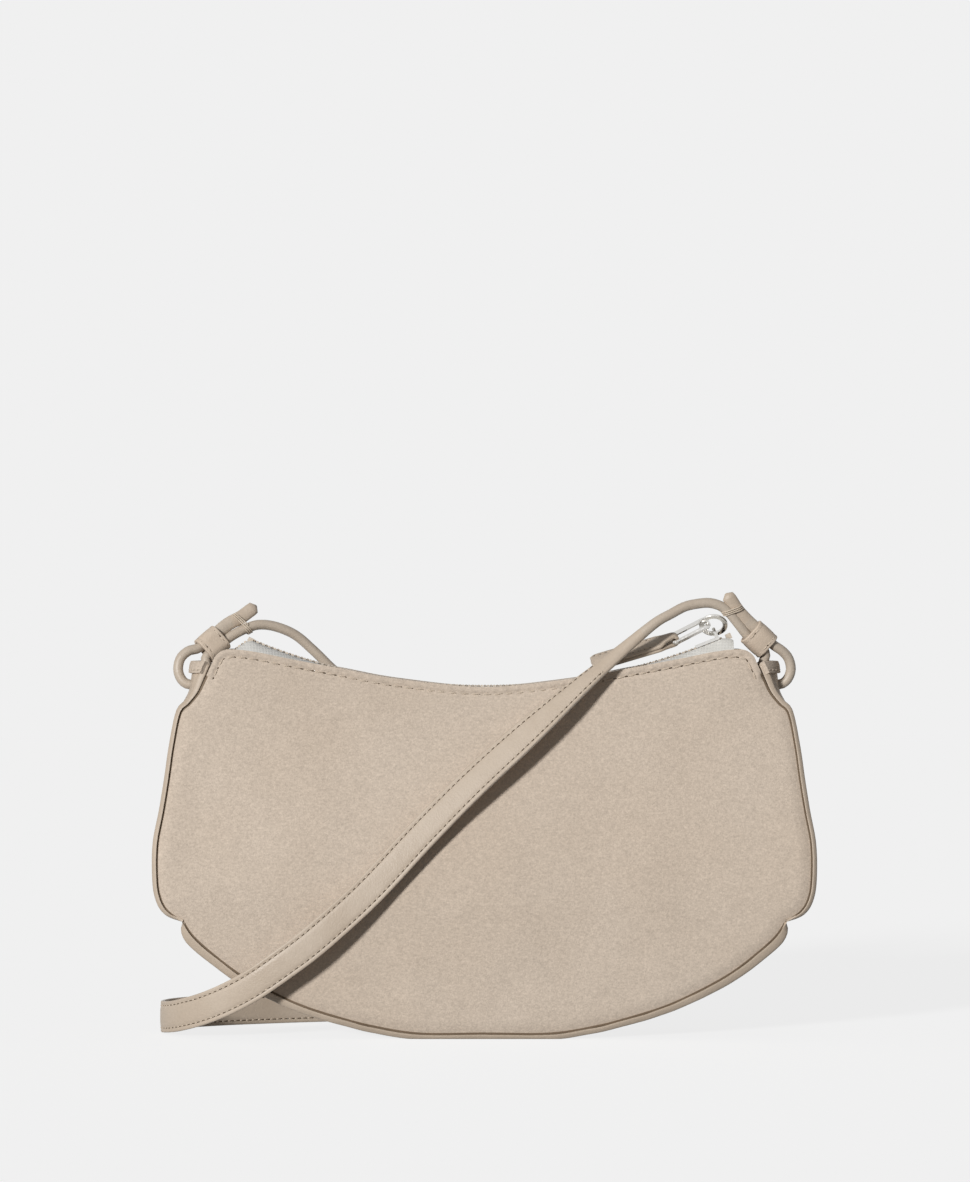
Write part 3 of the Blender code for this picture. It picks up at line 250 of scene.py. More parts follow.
STRAP_ROUTE = (
    ((87.5, -10, 173.1), (0.15, -0.25, 0.95)), ((80.5, -11.2, 171.8), (0.05, -0.35, 0.93)),
    ((74.6, -12.2, 168.8), (-0.15, -0.35, 0.92)), ((68, -13.5, 165), (-0.45, 0.10, 0.85)),
    ((57, -15.5, 156), (-0.50, 0.45, 0.64)), ((44.2, -18.6, 145.2), (-0.45, 0.60, 0.55)),
    ((30.4, -22.2, 133.4), (-0.52, 0.50, 0.58)), ((-1.8, -29, 104.6), (-0.60, 0.34, 0.66)),
    ((-24, -32.5, 82.5), (-0.62, 0.22, 0.72)), ((-45.6, -35, 59.5), (-0.61, 0.11, 0.76)),
    ((-66, -37.2, 41), (-0.58, 0.03, 0.81)), ((-80.2, -37.2, 30.2), (-0.50, -0.02, 0.86)),
    ((-94.5, -34.2, 20.5), (-0.38, 0.00, 0.92)), ((-109, -27, 13.2), (-0.22, 0.00, 0.97)),
    ((-122, -15, 8.6), (-0.08, 0.00, 0.99)), ((-129, -1, 6.9), (0.00, 0.00, 1.00)),
    ((-127.5, 13, 6.7), (0.00, 0.00, 1.00)), ((-118, 25, 6.7), (0.00, 0.00, 1.00)),
    ((-100, 37, 6.7), (0.00, 0.00, 1.00)), ((-70, 50, 6.7), (0.00, 0.02, 1.00)),
    ((-30, 60, 6.8), (0.00, 0.08, 0.99)), ((10, 64, 7.2), (0.00, 0.25, 0.96)),
    ((45, 62, 11), (-0.10, 0.60, 0.80)), ((75, 56, 27), (-0.10, 0.95, 0.20)),
    ((92, 50, 52), (0.00, 1.00, 0.10)), ((93, 44, 79), (0.00, 0.99, 0.10)),
    ((79, 39, 101), (0.00, 0.98, 0.15)), ((53, 34.5, 113), (0.00, 0.95, 0.25)),
    ((20, 31, 118), (0.00, 0.85, 0.50)), ((-15, 27, 123), (-0.10, 0.60, 0.78)),
    ((-42, 22.5, 132), (-0.40, 0.30, 0.86)), ((-59, 19.5, 144), (-0.62, 0.15, 0.76)),
    ((-69, 17.5, 153.5), (-0.62, 0.10, 0.76)), ((-76.5, 15.5, 160), (-0.45, 0.05, 0.88)),
)
CORD_ROUTE_RIGHT = metres((
    (87.5, -10, 173.1), (91.4, -9.4, 172.9), (95, -8.7, 171.6), (98.2, -7.9, 169),
    (101.8, -6.9, 164.6), (105.8, -5.6, 159.6), (109.4, -4.6, 156.3), (112.6, -3.7, 153.1),
    (112.1, -2.8, 149.9), (111.3, -1.6, 146.3), (112.5, -0.6, 143), (114.9, -0.1, 140.7),
    (117.4, 0, 140.3), (120.1, 0, 140.9), (122.2, -0.3, 143.2), (123.1, -0.8, 146.8),
    (122, -1.6, 151), (119.3, -2.7, 154), (116, -3.6, 156.2), (112.44, -4.6, 159.5),
    (108.6, -5.6, 162.9), (104.7, -6.7, 166.5), (101.1, -7.7, 170.4), (98.5, -8.6, 174.4),
    (96.4, -9.2, 176.8),
))
CORD_ROUTE_LEFT = metres((
    (-76.5, 15.5, 160), (-84.2, 13.4, 163.4), (-90.8, 11.6, 164.3), (-95.7, 9.9, 163),
    (-101, 8, 160.4), (-105.3, 6.2, 157.3), (-108.8, 4.4, 154.2), (-112, 3.1, 151.3),
    (-111.9, 2, 148.4), (-111.3, 1, 145), (-112.5, 0.4, 142.3), (-114.9, 0.1, 140.6),
    (-117.4, 0, 140.3), (-120.1, 0, 140.8), (-122.2, 0.3, 143), (-123.2, 0.7, 146.6),
    (-122.2, 1.3, 150.9), (-119.1, 2, 153.8), (-115.4, 3, 154.8), (-111.8, 4.4, 157.6),
    (-108.3, 6.2, 160.7), (-103.4, 8.5, 164.6), (-98.6, 10.1, 167.2), (-94.9, 11.3, 169.9),
    (-92.2, 12, 172),
))


def rgb(red, green, blue):
    """A screen colour of 0 to 255 as the linear colour that a shader takes."""
    linear = []
    for value in (red, green, blue):
        share = value / 255.0
        linear.append(share / 12.92 if share <= 0.04045 else ((share + 0.055) / 1.055) ** 2.4)
    return (*linear, 1.0)


# Lines and frames


def clamp(value):
    return min(max(value, 0.0), 1.0)


def ease(value):
    """0 to 1 with a soft start and end."""
    share = clamp(value)
    return share * share * (3.0 - 2.0 * share)


def bell(value, middle, width):
    return math.exp(-((value - middle) / width) ** 2)


def distances(points):
    """How far along a line each of its points lies."""
    found = [0.0]
    for a, b in zip(points, points[1:]):
        found.append(found[-1] + (b - a).length)
    return found


def spans_at(lengths, wanted):
    """The span in which each wanted length lies, and how far along that span."""
    j = 0
    for want in wanted:
        while j < len(lengths) - 2 and lengths[j + 1] < want:
            j += 1
        yield j, clamp((want - lengths[j]) / max(lengths[j + 1] - lengths[j], 1e-9))


def run_at(points, i):
    """The way that a line runs at one of its points."""
    return (points[min(i + 1, len(points) - 1)] - points[max(i - 1, 0)]).normalized()


def to_line(points, shares):
    """Points at these shares of the length of a smooth curve through the given points."""
    points = [Vector(point) for point in points]
    padded = [points[0] * 2.0 - points[1]] + points + [points[-1] * 2.0 - points[-2]]
    fine = []
    for i in range(1, len(padded) - 2):
        a, b, c, d = padded[i - 1 : i + 3]
        for k in range(FINE_STEPS):
            t = k / FINE_STEPS
            fine.append(
                0.5 * (2.0 * b + (c - a) * t + (2.0 * a - 5.0 * b + 4.0 * c - d) * t * t
                       + (3.0 * b - a - 3.0 * c + d) * t * t * t)
            )
    fine.append(points[-1])
    lengths = distances(fine)
    spans = spans_at(lengths, [lengths[-1] * share for share in shares])
    return [fine[j].lerp(fine[j + 1], share) for j, share in spans]


def smooth_line(points, count):
    return to_line(points, [i / count for i in range(count + 1)])


def outline(shares):
    return [Vector((x * HALF_WIDTH, z * BODY_HEIGHT)) for x, z in shares]


def mirrored(points):
    left = [Vector((-point.x, point.y)) for point in reversed(points[1:])]
    return left + list(points)


def normals_2d(points):
    """Unit normals to the right of the way that the line runs."""
    runs = [run_at(points, i) for i in range(len(points))]
    return [Vector((run.y, -run.x)) for run in runs]


def half_depth(z):
    """Half of the bag's depth at the seams at a height."""
    rise = (z - TAPER_LOW_Z) / (TAPER_HIGH_Z - TAPER_LOW_Z)
    taper = (1.0 - math.cos(math.pi * clamp(rise))) / 2.0
    return BASE_HALF_DEPTH + (MOUTH_HALF_DEPTH - BASE_HALF_DEPTH) * taper


TOP_LINE = smooth_line(mirrored(outline(TOP_SHARES)), LINE_STEPS)
SIDE_LINE = smooth_line(outline(SIDE_SHARES), LINE_STEPS)
BASE_LINE = smooth_line(mirrored(outline(BOTTOM_SHARES)), LINE_STEPS)
SIDE_NORMALS = normals_2d(SIDE_LINE)


def top_z(x):
    """Height of the panels' top edge at a place along the width."""
    for a, b in zip(TOP_LINE, TOP_LINE[1:]):
        if a.x <= x <= b.x:
            return a.y + (b.y - a.y) * (x - a.x) / (b.x - a.x)
    return TOP_LINE[0].y


def grid_faces(columns, rows, flip=False, start=0):
    """Faces of a grid of points that is stored row by row."""
    faces = []
    wide = columns + 1
    for j in range(rows):
        for i in range(columns):
            a = start + j * wide + i
            face = (a, a + 1, a + wide + 1, a + wide)
            faces.append(face[::-1] if flip else face)
    return faces


def mirror_x(points):
    return [Vector((-point.x, point.y, point.z)) for point in points]


# Node materials

# The part of a noise factor's range in which most of its values lie
FACTOR_RANGE = (0.3, 0.7)


def new_look(name, **values):
    """A material with its fixed values on the shader's own sockets."""
    look = bpy.data.materials.new(name)
    look.use_nodes = True
    shader = look.node_tree.nodes["Principled BSDF"]
    for socket, value in values.items():
        shader.inputs[socket.replace("_", " ")].default_value = value
    return look


def add_node(look, kind, **inputs):
    """A node with its inputs set or linked. An output socket is linked, a value is set."""
    node = look.node_tree.nodes.new(kind)
    for key, value in inputs.items():
        socket = node.inputs[int(key[1:])] if key[0] == "i" and key[1:].isdigit() else (
            node.inputs[key.replace("_", " ")])
        if isinstance(value, bpy.types.NodeSocket):
            look.node_tree.links.new(value, socket)
        else:
            socket.default_value = value
    return node


def place(look, stretch=(1.0, 1.0, 1.0)):
    """The object's own coordinates in metres, stretched along each axis."""
    spot = add_node(look, "ShaderNodeTexCoord").outputs["Object"]
    return add_node(look, "ShaderNodeMapping", Vector=spot, Scale=stretch).outputs["Vector"]


def grain(look, scale, detail=3.0, stretch=(1.0, 1.0, 1.0)):
    return add_node(look, "ShaderNodeTexNoise", Vector=place(look, stretch), Scale=scale,
                    Detail=detail).outputs["Fac"]


def blend(look, fac, low, high):
    """A colour ramp from low to high over the middle of a factor's range."""
    node = add_node(look, "ShaderNodeValToRGB", Fac=fac)
    for element, at, colour in zip(node.color_ramp.elements, FACTOR_RANGE, (low, high)):
        element.position = at
        element.color = colour
    return node.outputs["Color"]


def shade(look, colour, fac, low, high):
    """A colour multiplied by a grey between low and high, as a factor says."""
    grey = blend(look, fac, (low, low, low, 1.0), (high, high, high, 1.0))
    node = look.node_tree.nodes.new("ShaderNodeMix")
    node.data_type = "RGBA"
    node.blend_type = "MULTIPLY"
    node.inputs[0].default_value = 1.0
    look.node_tree.links.new(colour, node.inputs[6])
    look.node_tree.links.new(grey, node.inputs[7])
    return node.outputs[2]


def set_input(look, name, output):
    look.node_tree.links.new(output, look.node_tree.nodes["Principled BSDF"].inputs[name])


def add_bump(look, layers):
    """Bump from layers of (height output, distance), the first one lowest."""
    normal = None
    for height, distance in layers:
        node = add_node(look, "ShaderNodeBump", Height=height, Distance=distance, Strength=1.0)
        if normal is not None:
            look.node_tree.links.new(normal, node.inputs["Normal"])
        normal = node.outputs["Normal"]
    set_input(look, "Normal", normal)


def finish_look(look, colour, rough_by, rough, layers):
    """Colour, roughness over a range by a factor, and bump layers on one shader."""
    set_input(look, "Base Color", colour)
    set_input(look, "Roughness", range_of(look, rough_by, *rough))
    add_bump(look, layers)
    return look


def range_of(look, fac, low, high):
    """A value from low to high over the middle of a factor's range."""
    return add_node(look, "ShaderNodeMapRange", Value=fac, From_Min=FACTOR_RANGE[0],
                    From_Max=FACTOR_RANGE[1], To_Min=low, To_Max=high).outputs["Result"]


def largest(look, a, b):
    node = add_node(look, "ShaderNodeMath", i0=a, i1=b)
    node.operation = "MAXIMUM"
    return node.outputs[0]


def suede_look():
    """Brushed suede: soft patches where the nap lies either way, and short fibres."""
    look = new_look("suede_nap", Sheen_Weight=0.22, Sheen_Roughness=0.45,
                    Sheen_Tint=rgb(235, 222, 206), Specular_IOR_Level=0.12)
    patches = grain(look, 18.0, 3.0)
    colour = blend(look, patches, rgb(197, 181, 164), rgb(202, 187, 171))
    colour = shade(look, colour, grain(look, 240.0, 3.0, (1.0, 1.0, 1.6)), 0.965, 1.02)
    colour = shade(look, colour, grain(look, 760.0, 2.0, (1.0, 1.0, 1.5)), 0.88, 1.06)
    colour = shade(look, colour, grain(look, 1900.0, 2.0), 0.88, 1.07)
    layers = [(grain(look, 700.0, 3.0), 0.00012), (grain(look, 1900.0, 3.0), 0.00012)]
    return finish_look(look, colour, patches, (0.88, 0.98), layers)


def leather_look(name, low, high, roughness=0.52):
    """Smooth leather with a fine pebble grain, faint creases and softly worn tone."""
    look = new_look(name, Specular_IOR_Level=0.38, Coat_Weight=0.05, Coat_Roughness=0.4)
    cloud = grain(look, 60.0, 3.0)
    colour = shade(look, blend(look, cloud, low, high), grain(look, 900.0, 2.0), 0.96, 1.02)
    cells = add_node(look, "ShaderNodeTexVoronoi", Vector=place(look), Scale=1500.0)
    layers = [(grain(look, 240.0, 3.0), 0.00012), (cells.outputs["Distance"], 0.00006)]
    return finish_look(look, colour, cloud, (roughness - 0.05, roughness + 0.07), layers)


def cloth_look(name, low, high, pitch):
    """Plain woven cloth: two crossing sets of threads at a pitch, darker between the threads as
    painted shade.
    """
    look = new_look(name, Sheen_Weight=0.15, Sheen_Roughness=0.5, Specular_IOR_Level=0.2)
    heights = []
    for axis in ("X", "Z"):
        wave = add_node(look, "ShaderNodeTexWave", Vector=place(look), Scale=0.314 / pitch,
                        Distortion=0.4, Detail=1.0)
        wave.bands_direction = axis
        heights.append(wave.outputs["Fac"])
    both = largest(look, *heights)
    tone = blend(look, grain(look, 120.0, 3.0), low, high)
    # The colour follows the weave's height, so the low gaps between threads are darker: painted
    # shade
    return finish_look(look, shade(look, tone, both, 0.82, 1.04), grain(look, 400.0),
                       (0.84, 0.90), [(both, 0.00012), (grain(look, 2500.0, 2.0), 0.00005)])


def metal_look(name, colour, roughness):
    """Plated metal with faint rubbed marks."""
    look = new_look(name, Metallic=1.0)
    rub = grain(look, 700.0, 3.0, (1.0, 1.0, 3.0))
    worn = shade(look, blend(look, rub, colour, colour), rub, 0.93, 1.02)
    return finish_look(look, worn, rub, (roughness, roughness + 0.12),
                       [(grain(look, 900.0, 2.0), 0.00002)])


def thread_look(name, low, high):
    """Twisted sewing thread, darker in the grooves of its twist as painted shade."""
    look = new_look(name, Sheen_Weight=0.2, Sheen_Roughness=0.4, Specular_IOR_Level=0.3)
    twist = add_node(look, "ShaderNodeTexWave", Vector=place(look), Scale=700.0,
                     Distortion=1.0)
    twist.bands_direction = "DIAGONAL"
    turns = twist.outputs["Fac"]
    tone = blend(look, grain(look, 300.0), low, high)
    # The colour follows the twist's height, so its grooves are darker: painted shade
    return finish_look(look, shade(look, tone, turns, 0.86, 1.05), turns, (0.55, 0.75),
                       [(turns, 0.00006)])


SUEDE = suede_look()
STRAP_LEATHER = leather_look("strap_leather", rgb(180, 164, 146), rgb(190, 175, 158), 0.48)
CORD_LEATHER = leather_look("cord_leather", rgb(178, 164, 148), rgb(190, 177, 161), 0.44)
EDGE_LEATHER = leather_look("painted_edge", rgb(196, 188, 178), rgb(208, 200, 190), 0.36)
GUSSET_LEATHER = leather_look("gusset_leather", rgb(178, 162, 144), rgb(189, 173, 155), 0.50)
# Painted shade: a darker colour for the panel's outermost faces, standing in for the shadow in
# the seam's gap
PAINTED_SEAM_SHADE = leather_look("seam_gap_painted_shade", rgb(112, 95, 77), rgb(124, 107, 88), 0.75)
KEEPER_LEATHER = leather_look("keeper_leather", rgb(193, 175, 156), rgb(203, 187, 169), 0.52)
LINING_CLOTH = cloth_look("lining_twill", rgb(168, 153, 135), rgb(180, 165, 147), 0.0006)
BOARD_FIBRE = cloth_look("board_fibre", rgb(128, 118, 104), rgb(142, 131, 116), 0.0009)
TAPE_CLOTH = cloth_look("zip_tape_weave", rgb(214, 212, 206), rgb(228, 226, 221), 0.0006)
SILVER = metal_look("silver_plate", rgb(226, 224, 220), 0.14)
TEETH_METAL = metal_look("teeth_metal", rgb(192, 180, 165), 0.26)
THREAD = thread_look("sewing_thread", rgb(192, 176, 157), rgb(206, 191, 173))
TIE_THREAD = thread_look("tie_thread", rgb(196, 180, 160), rgb(212, 197, 178))
# Painted shade: the darkness inside each needle hole, put on a flat disc in the stitch gap
NEEDLE_HOLE_SHADE = new_look("needle_hole_painted_shade", Base_Color=rgb(96, 80, 63), Roughness=0.95)


# Pieces

FRONT_AND_BACK = (("front", -1.0), ("back", 1.0))


def add_object(name, data):
    obj = bpy.data.objects.new(name, data)
    bpy.context.scene.collection.objects.link(obj)
    return obj


def add_piece(name, points, faces, looks, nodes=(), body="bag_body", smooth=True,
              marks=None):
    """A mesh piece that rides on a body and stands for its CAD nodes."""
    mesh = bpy.data.meshes.new(name)
    mesh.from_pydata([tuple(point) for point in points], [], faces)
    for look in looks:
        mesh.materials.append(look)
    if marks is not None:
        mesh.polygons.foreach_set("material_index", marks)
    if smooth:
        mesh.shade_smooth()
    obj = add_object(name, mesh)
    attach(obj, body)
    if nodes:
        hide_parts(*nodes)
    return obj


def face_out(obj):
    work = bmesh.new()
    work.from_mesh(obj.data)
    bmesh.ops.recalc_face_normals(work, faces=work.faces)
    work.to_mesh(obj.data)
    work.free()


def add_bevel(obj, width, segments, angle):
    if width > 0.0:
        bevel = obj.modifiers.new("edge", "BEVEL")
        bevel.width = width
        bevel.segments = segments
        bevel.limit_method = "ANGLE"
        bevel.angle_limit = math.radians(angle)


def add_shell(obj, thickness, rim=0.0):
    """Thickness behind the face, with its rim rounded."""
    shell = obj.modifiers.new("thickness", "SOLIDIFY")
    shell.thickness = thickness
    shell.offset = -1.0
    add_bevel(obj, rim, 3, 50.0)


def bake_modifiers(obj):
    """Applies the modifiers, so that the piece keeps only its mesh."""
    bpy.context.view_layer.update()
    made = obj.evaluated_get(bpy.context.evaluated_depsgraph_get())
    mesh = bpy.data.meshes.new_from_object(made)
    obj.modifiers.clear()
    obj.data = mesh


def loft_faces(rings, count, closed=False, caps=True):
    faces = []
    spans = rings if closed else rings - 1
    for j in range(spans):
        k = (j + 1) % rings
        for i in range(count):
            n = (i + 1) % count
            faces.append((j * count + i, j * count + n, k * count + n, k * count + i))
    if caps and not closed:
        faces.append(tuple(range(count))[::-1])
        faces.append(tuple(range((rings - 1) * count, rings * count)))
    return faces


def add_loft(name, rings, looks, nodes=(), body="bag_body", closed=False, marks=None):
    """A closed skin through rings of points, with a crease where it turns sharply."""
    points = [point for ring in rings for point in ring]
    faces = loft_faces(len(rings), len(rings[0]), closed)
    obj = add_piece(name, points, faces, looks, nodes, body, marks=marks)
    face_out(obj)
    obj.data.set_sharp_from_angle(angle=math.radians(55.0))
    return obj


def sample_line(points, normals, step):
    """Places along a line of points at even steps, each with its normal."""
    lengths = distances(points)
    count = max(int(lengths[-1] / step), 1)
    wanted = [lengths[-1] * k / count for k in range(count + 1)]
    return [(points[j].lerp(points[j + 1], share),
             normals[j].lerp(normals[j + 1], share).normalized())
            for j, share in spans_at(lengths, wanted)]


STITCH_SIDES = 6
STITCH_ROUND = [(math.cos(2.0 * math.pi * k / STITCH_SIDES),
                 math.sin(2.0 * math.pi * k / STITCH_SIDES)) for k in range(STITCH_SIDES)]
# Along one stitch: share of its length, share of its radius, rise in radii
STITCH_SHAPE = ((0.0, 0.35, -0.9), (0.12, 0.85, -0.1), (0.5, 1.0, 0.35), (0.88, 0.85, -0.1),
                (1.0, 0.35, -0.9))
STITCH_FILL = 0.68
# Size of the flat disc of painted shade at each needle hole, and how far it rises
HOLE_LONG_SHARE = 0.55
HOLE_WIDE = 1.15
HOLE_LOW = 0.12


def add_stitches(name, lines, pitch, radius, body="bag_body", fill=STITCH_FILL,
                 wide=HOLE_WIDE):
    """Thread stitches with a needle hole between them, along lines of (points, normals); each
    hole is a flat disc of painted shade.
    """
    points = []
    faces = []
    marks = []
    for line, normals in lines:
        spots = sample_line(line, normals, pitch)
        for (a, up), (b, _) in zip(spots, spots[1:]):
            run = (b - a).normalized()
            across = run.cross(up).normalized()
            up = across.cross(run)
            start = len(points)
            for share, size, rise in STITCH_SHAPE:
                centre = a.lerp(b, share * fill) + up * (rise * radius)
                points += [centre + across * (c * radius * size) + up * (s * radius * size)
                           for c, s in STITCH_ROUND]
            made = [tuple(start + i for i in face)
                    for face in loft_faces(len(STITCH_SHAPE), STITCH_SIDES)]
            faces += made
            marks += [0] * len(made)
            # Painted shade: a flat dark disc over each needle hole, in the gap between two
            # stitches
            start = len(points)
            centre = a.lerp(b, (1.0 + fill) / 2.0)
            half = (b - a).length * (1.0 - fill) * HOLE_LONG_SHARE
            points.append(centre + up * (HOLE_LOW * radius))
            points += [centre + across * (c * radius * wide) + run * (s * half)
                       for c, s in STITCH_ROUND]
            points.append(centre - up * radius)
            for k in range(STITCH_SIDES):
                n = (k + 1) % STITCH_SIDES
                faces.append((start, start + 1 + k, start + 1 + n))
                faces.append((start + STITCH_SIDES + 1, start + 1 + n, start + 1 + k))
                marks += [1, 1]
    obj = add_piece(name, points, faces, (THREAD, NEEDLE_HOLE_SHADE), body=body,
                    marks=marks)
    face_out(obj)
    return obj


# Camera


def make_camera():
    data = bpy.data.cameras.new("camera")
    data.sensor_fit = "VERTICAL"
    data.sensor_height = SENSOR_HEIGHT
    data.lens = SENSOR_HEIGHT * CAMERA_DISTANCE / FRAME_HEIGHT
    camera = add_object("camera", data)
    camera.location = (CAMERA_X, CAMERA_PLANE_Y - CAMERA_DISTANCE, CAMERA_Z)
    camera.rotation_euler = (math.radians(90.0), 0.0, 0.0)
    bpy.context.scene.camera = camera


# Strap, ties and keepers


def strap_frames():
    """Even steps along the whole strap: place, run, width, face and how flat it is."""
    flat = metres([spot for spot, _ in STRAP_ROUTE])
    widths = [Vector(width) for _, width in STRAP_ROUTE]
    route = CORD_ROUTE_RIGHT[::-1] + flat[1:] + CORD_ROUTE_LEFT[1:]
    first = len(CORD_ROUTE_RIGHT) - 1
    last = first + len(flat) - 1
    marks = distances(route)
    total = marks[-1]
    count = int(total / STRAP_RING_STEP)
    line = smooth_line(route, count)
    wanted = [total * i / count for i in range(count + 1)]
    frames = []
    for i, (j, share) in enumerate(spans_at(marks, wanted)):
        want = wanted[i]
        k = j - first
        if k < 0:
            width = widths[0]
        elif k >= len(widths) - 1:
            width = widths[-1]
        else:
            width = widths[k].lerp(widths[k + 1], share)
        inside = min((want - marks[first] - ROLLED_RIGHT_LENGTH) / ROLLED_FRONT_TAPER,
                     (marks[last] - want - ROLLED_LEFT_LENGTH) / ROLLED_TAPER_LENGTH)
        frames.append([line[i], run_at(line, i), width, ease(inside), min(want, total - want)])
    middle = count // 2
    for order in (range(middle, -1, -1), range(middle, count + 1)):
        held = None
        for i in order:
            _, run, width, flatness, _ = frames[i]
            if flatness <= 0.0 and held is not None:
                width = held
            width = (width - run * width.dot(run)).normalized()
            held = width
            frames[i][2] = width
    for frame_here in frames:
        _, run, width, _, tip = frame_here
        share = (PADDLE_TURN - tip) / (PADDLE_TURN - PADDLE_LENGTH)
        level = run.cross(Vector((0.0, 1.0, 0.0)))
        if level.dot(width) < 0.0:
            level = -level
        width = width.lerp(level.normalized(), clamp(share))
        frame_here[2] = (width - run * width.dot(run)).normalized()
    return frames


# Places across half of the strap's face, closest together at its stitches and its edge
FACE_SHARES = (1.0, 0.97, 0.92, 0.84, 0.78, 0.717, 0.655, 0.59, 0.45, 0.22, 0.0)
FACE_POINTS = 2 * len(FACE_SHARES) - 1


def strap_section():
    """Places round the strap's section: share across the face, and which face."""
    half = [(share, 1.0) for share in FACE_SHARES]
    face = half + [(-share, 1.0) for share, _ in reversed(half[:-1])]
    return face + [(-across, -1.0) for across, _ in face]


def strap_place(across, side, flatness, tip):
    """How far a place on the strap's skin lies along its width and out of its middle."""
    flat_half = STRAP_WIDTH / 2.0
    spread = ease((PADDLE_LENGTH - tip) / PADDLE_RISE)
    cap = math.sqrt(max(1.0 - (1.0 - min(tip / CORD_RADIUS, 1.0)) ** 2, CORD_CAP_LEAST))
    angle = math.asin(max(min(across, 1.0), -1.0))
    round_a = math.sin(angle) * CORD_RADIUS * (1.0 + PADDLE_SPREAD * spread) * cap
    round_b = side * max(math.cos(angle), CORD_EDGE_LEAST) * CORD_RADIUS * cap
    round_b *= 1.0 - PADDLE_FLAT * spread
    edge = max(abs(across) - 1.0 + STRAP_EDGE_SHARE, 0.0) / STRAP_EDGE_SHARE
    dip = bell(abs(across), STITCH_AT, STITCH_DIP_WIDTH)
    dome = 1.0 + STRAP_PAD * math.cos(across * math.pi / 2.0) - STITCH_DIP * dip
    high = STRAP_THICK / 2.0 * (dome * STRAP_DOME - STRAP_EDGE_DROP * edge * edge)
    return (round_a + (across * flat_half * STRAP_SPAN - round_a) * flatness,
            round_b + (side * high - round_b) * flatness)


def make_strap():
    """The strap in one piece, round at its rolled ends and flat between them."""
    frames = strap_frames()
    section = strap_section()
    rings = []
    rows = {}
    for spot, run, width, flatness, tip in frames:
        face = run.cross(width)
        ring = []
        for across, side in section:
            a, b = strap_place(across, side, flatness, tip)
            ring.append(spot + width * a + face * b)
        rings.append(ring)
        if flatness > STITCHED_FROM:
            for row in (-1.0, 1.0):
                for side in (-1.0, 1.0):
                    a, b = strap_place(row * STITCH_AT, side, flatness, tip)
                    line = rows.setdefault((row, side), ([], []))
                    line[0].append(spot + width * a + face * (b + side * STITCH_LIFT))
                    line[1].append(face * side)
    count = len(section)
    marks = []
    for _, _, _, flatness, tip in frames[:-1]:
        for i in range(count):
            if flatness < ROLLED_BELOW:
                marks.append(0 if tip < PADDLE_LENGTH / 2.0 else 1)
            else:
                marks.append(2 if i in (FACE_POINTS - 1, count - 1) else 0)
    marks += [1, 1]
    strap = add_loft("strap_leather_band", rings, (STRAP_LEATHER, CORD_LEATHER, EDGE_LEATHER),
                     ("strap", "strap_cord_left", "strap_cord_right"), marks=marks)
    stitches = add_stitches("strap_stitches", list(rows.values()), STRAP_STITCH_PITCH,
                            STRAP_THREAD, fill=STRAP_STITCH_FILL, wide=STRAP_HOLE_WIDE)
    ties = [make_tie("thread_tie_left", CORD_ROUTE_LEFT, TIE_LEFT_AT),
            make_tie("thread_tie_right", CORD_ROUTE_RIGHT, TIE_RIGHT_AT)]


def make_tie(name, route, target):
    """Thread wound slantwise round both strands of a doubled cord."""
    points = smooth_line(route, TIE_LOOK_STEPS)
    centre, run, spread = nearest_pair(points, Vector(target))
    if run.z < 0.0:
        run = -run
    if spread.z > 0.0:
        spread = -spread
    across = spread.normalized()
    up = run.cross(across)
    out = CORD_RADIUS + TIE_THREAD_RADIUS
    line = oval(spread.length + 2.0 * (out + PADDLE_SPREAD * CORD_RADIUS * 0.4), 2.0 * out, 8)
    path = []
    for k in range(TIE_TURNS * len(line)):
        spot = line[k % len(line)]
        shift = (k / len(line) - TIE_TURNS / 2.0) * TIE_PITCH + spot.x * TIE_SLANT
        path.append(centre + across * spot.x + up * spot.y + run * shift)
    rings = []
    for k, spot in enumerate(path):
        along = run_at(path, k)
        away = along.cross(run).normalized()
        beside = along.cross(away)
        rings.append([spot + (away * math.cos(a) + beside * math.sin(a)) * TIE_THREAD_RADIUS
                      for a in (math.pi * n / 3.0 for n in range(6))])
    return add_loft(name + "_turns", rings, (TIE_THREAD,), (name,))


def nearest_pair(points, target):
    """The two strands of a doubled cord beside a place: centre, run and spread."""
    ordered = sorted(range(len(points)), key=lambda i: (points[i] - target).length)
    first = ordered[0]
    second = next(i for i in ordered if abs(i - first) > len(points) // 3)
    run = (points[first + 1] - points[first - 1]).normalized()
    spread = points[second] - points[first]
    spread = spread - run * spread.dot(run)
    return (points[first] + points[second]) / 2.0, run, spread


def oval(length, width, steps):
    """A closed oval of two straight sides and two half rounds, centred on zero."""
    radius = width / 2.0
    straight = length / 2.0 - radius
    points = []
    for end in (1.0, -1.0):
        for k in range(steps + 1):
            angle = math.pi * k / steps - math.pi / 2.0
            points.append(Vector((end * (straight + radius * math.cos(angle)),
                                  end * radius * math.sin(angle), 0.0)))
        for k in range(1, 6):
            points.append(Vector((end * straight * (1.0 - k / 3.0), end * radius, 0.0)))
    return points


# Along a keeper: share of its length, how far its wall stands out, in walls
KEEPER_SHAPE = ((-0.5, 0.62), (-0.485, 0.9), (-0.45, 1.0), (-0.36, 0.86), (-0.28, 1.0),
                (-0.1, 1.05), (0.1, 1.05), (0.28, 1.0), (0.36, 0.86), (0.45, 1.0),
                (0.485, 0.9), (0.5, 0.62))
KEEPER_INNER = (0.5, 0.17, -0.17, -0.5)
KEEPER_ROUND = 10
KEEPER_LOOK_STEP = 0.003
KEEPER_STITCH_SHARE = 0.36
KEEPER_STITCH_OUT = 1.86


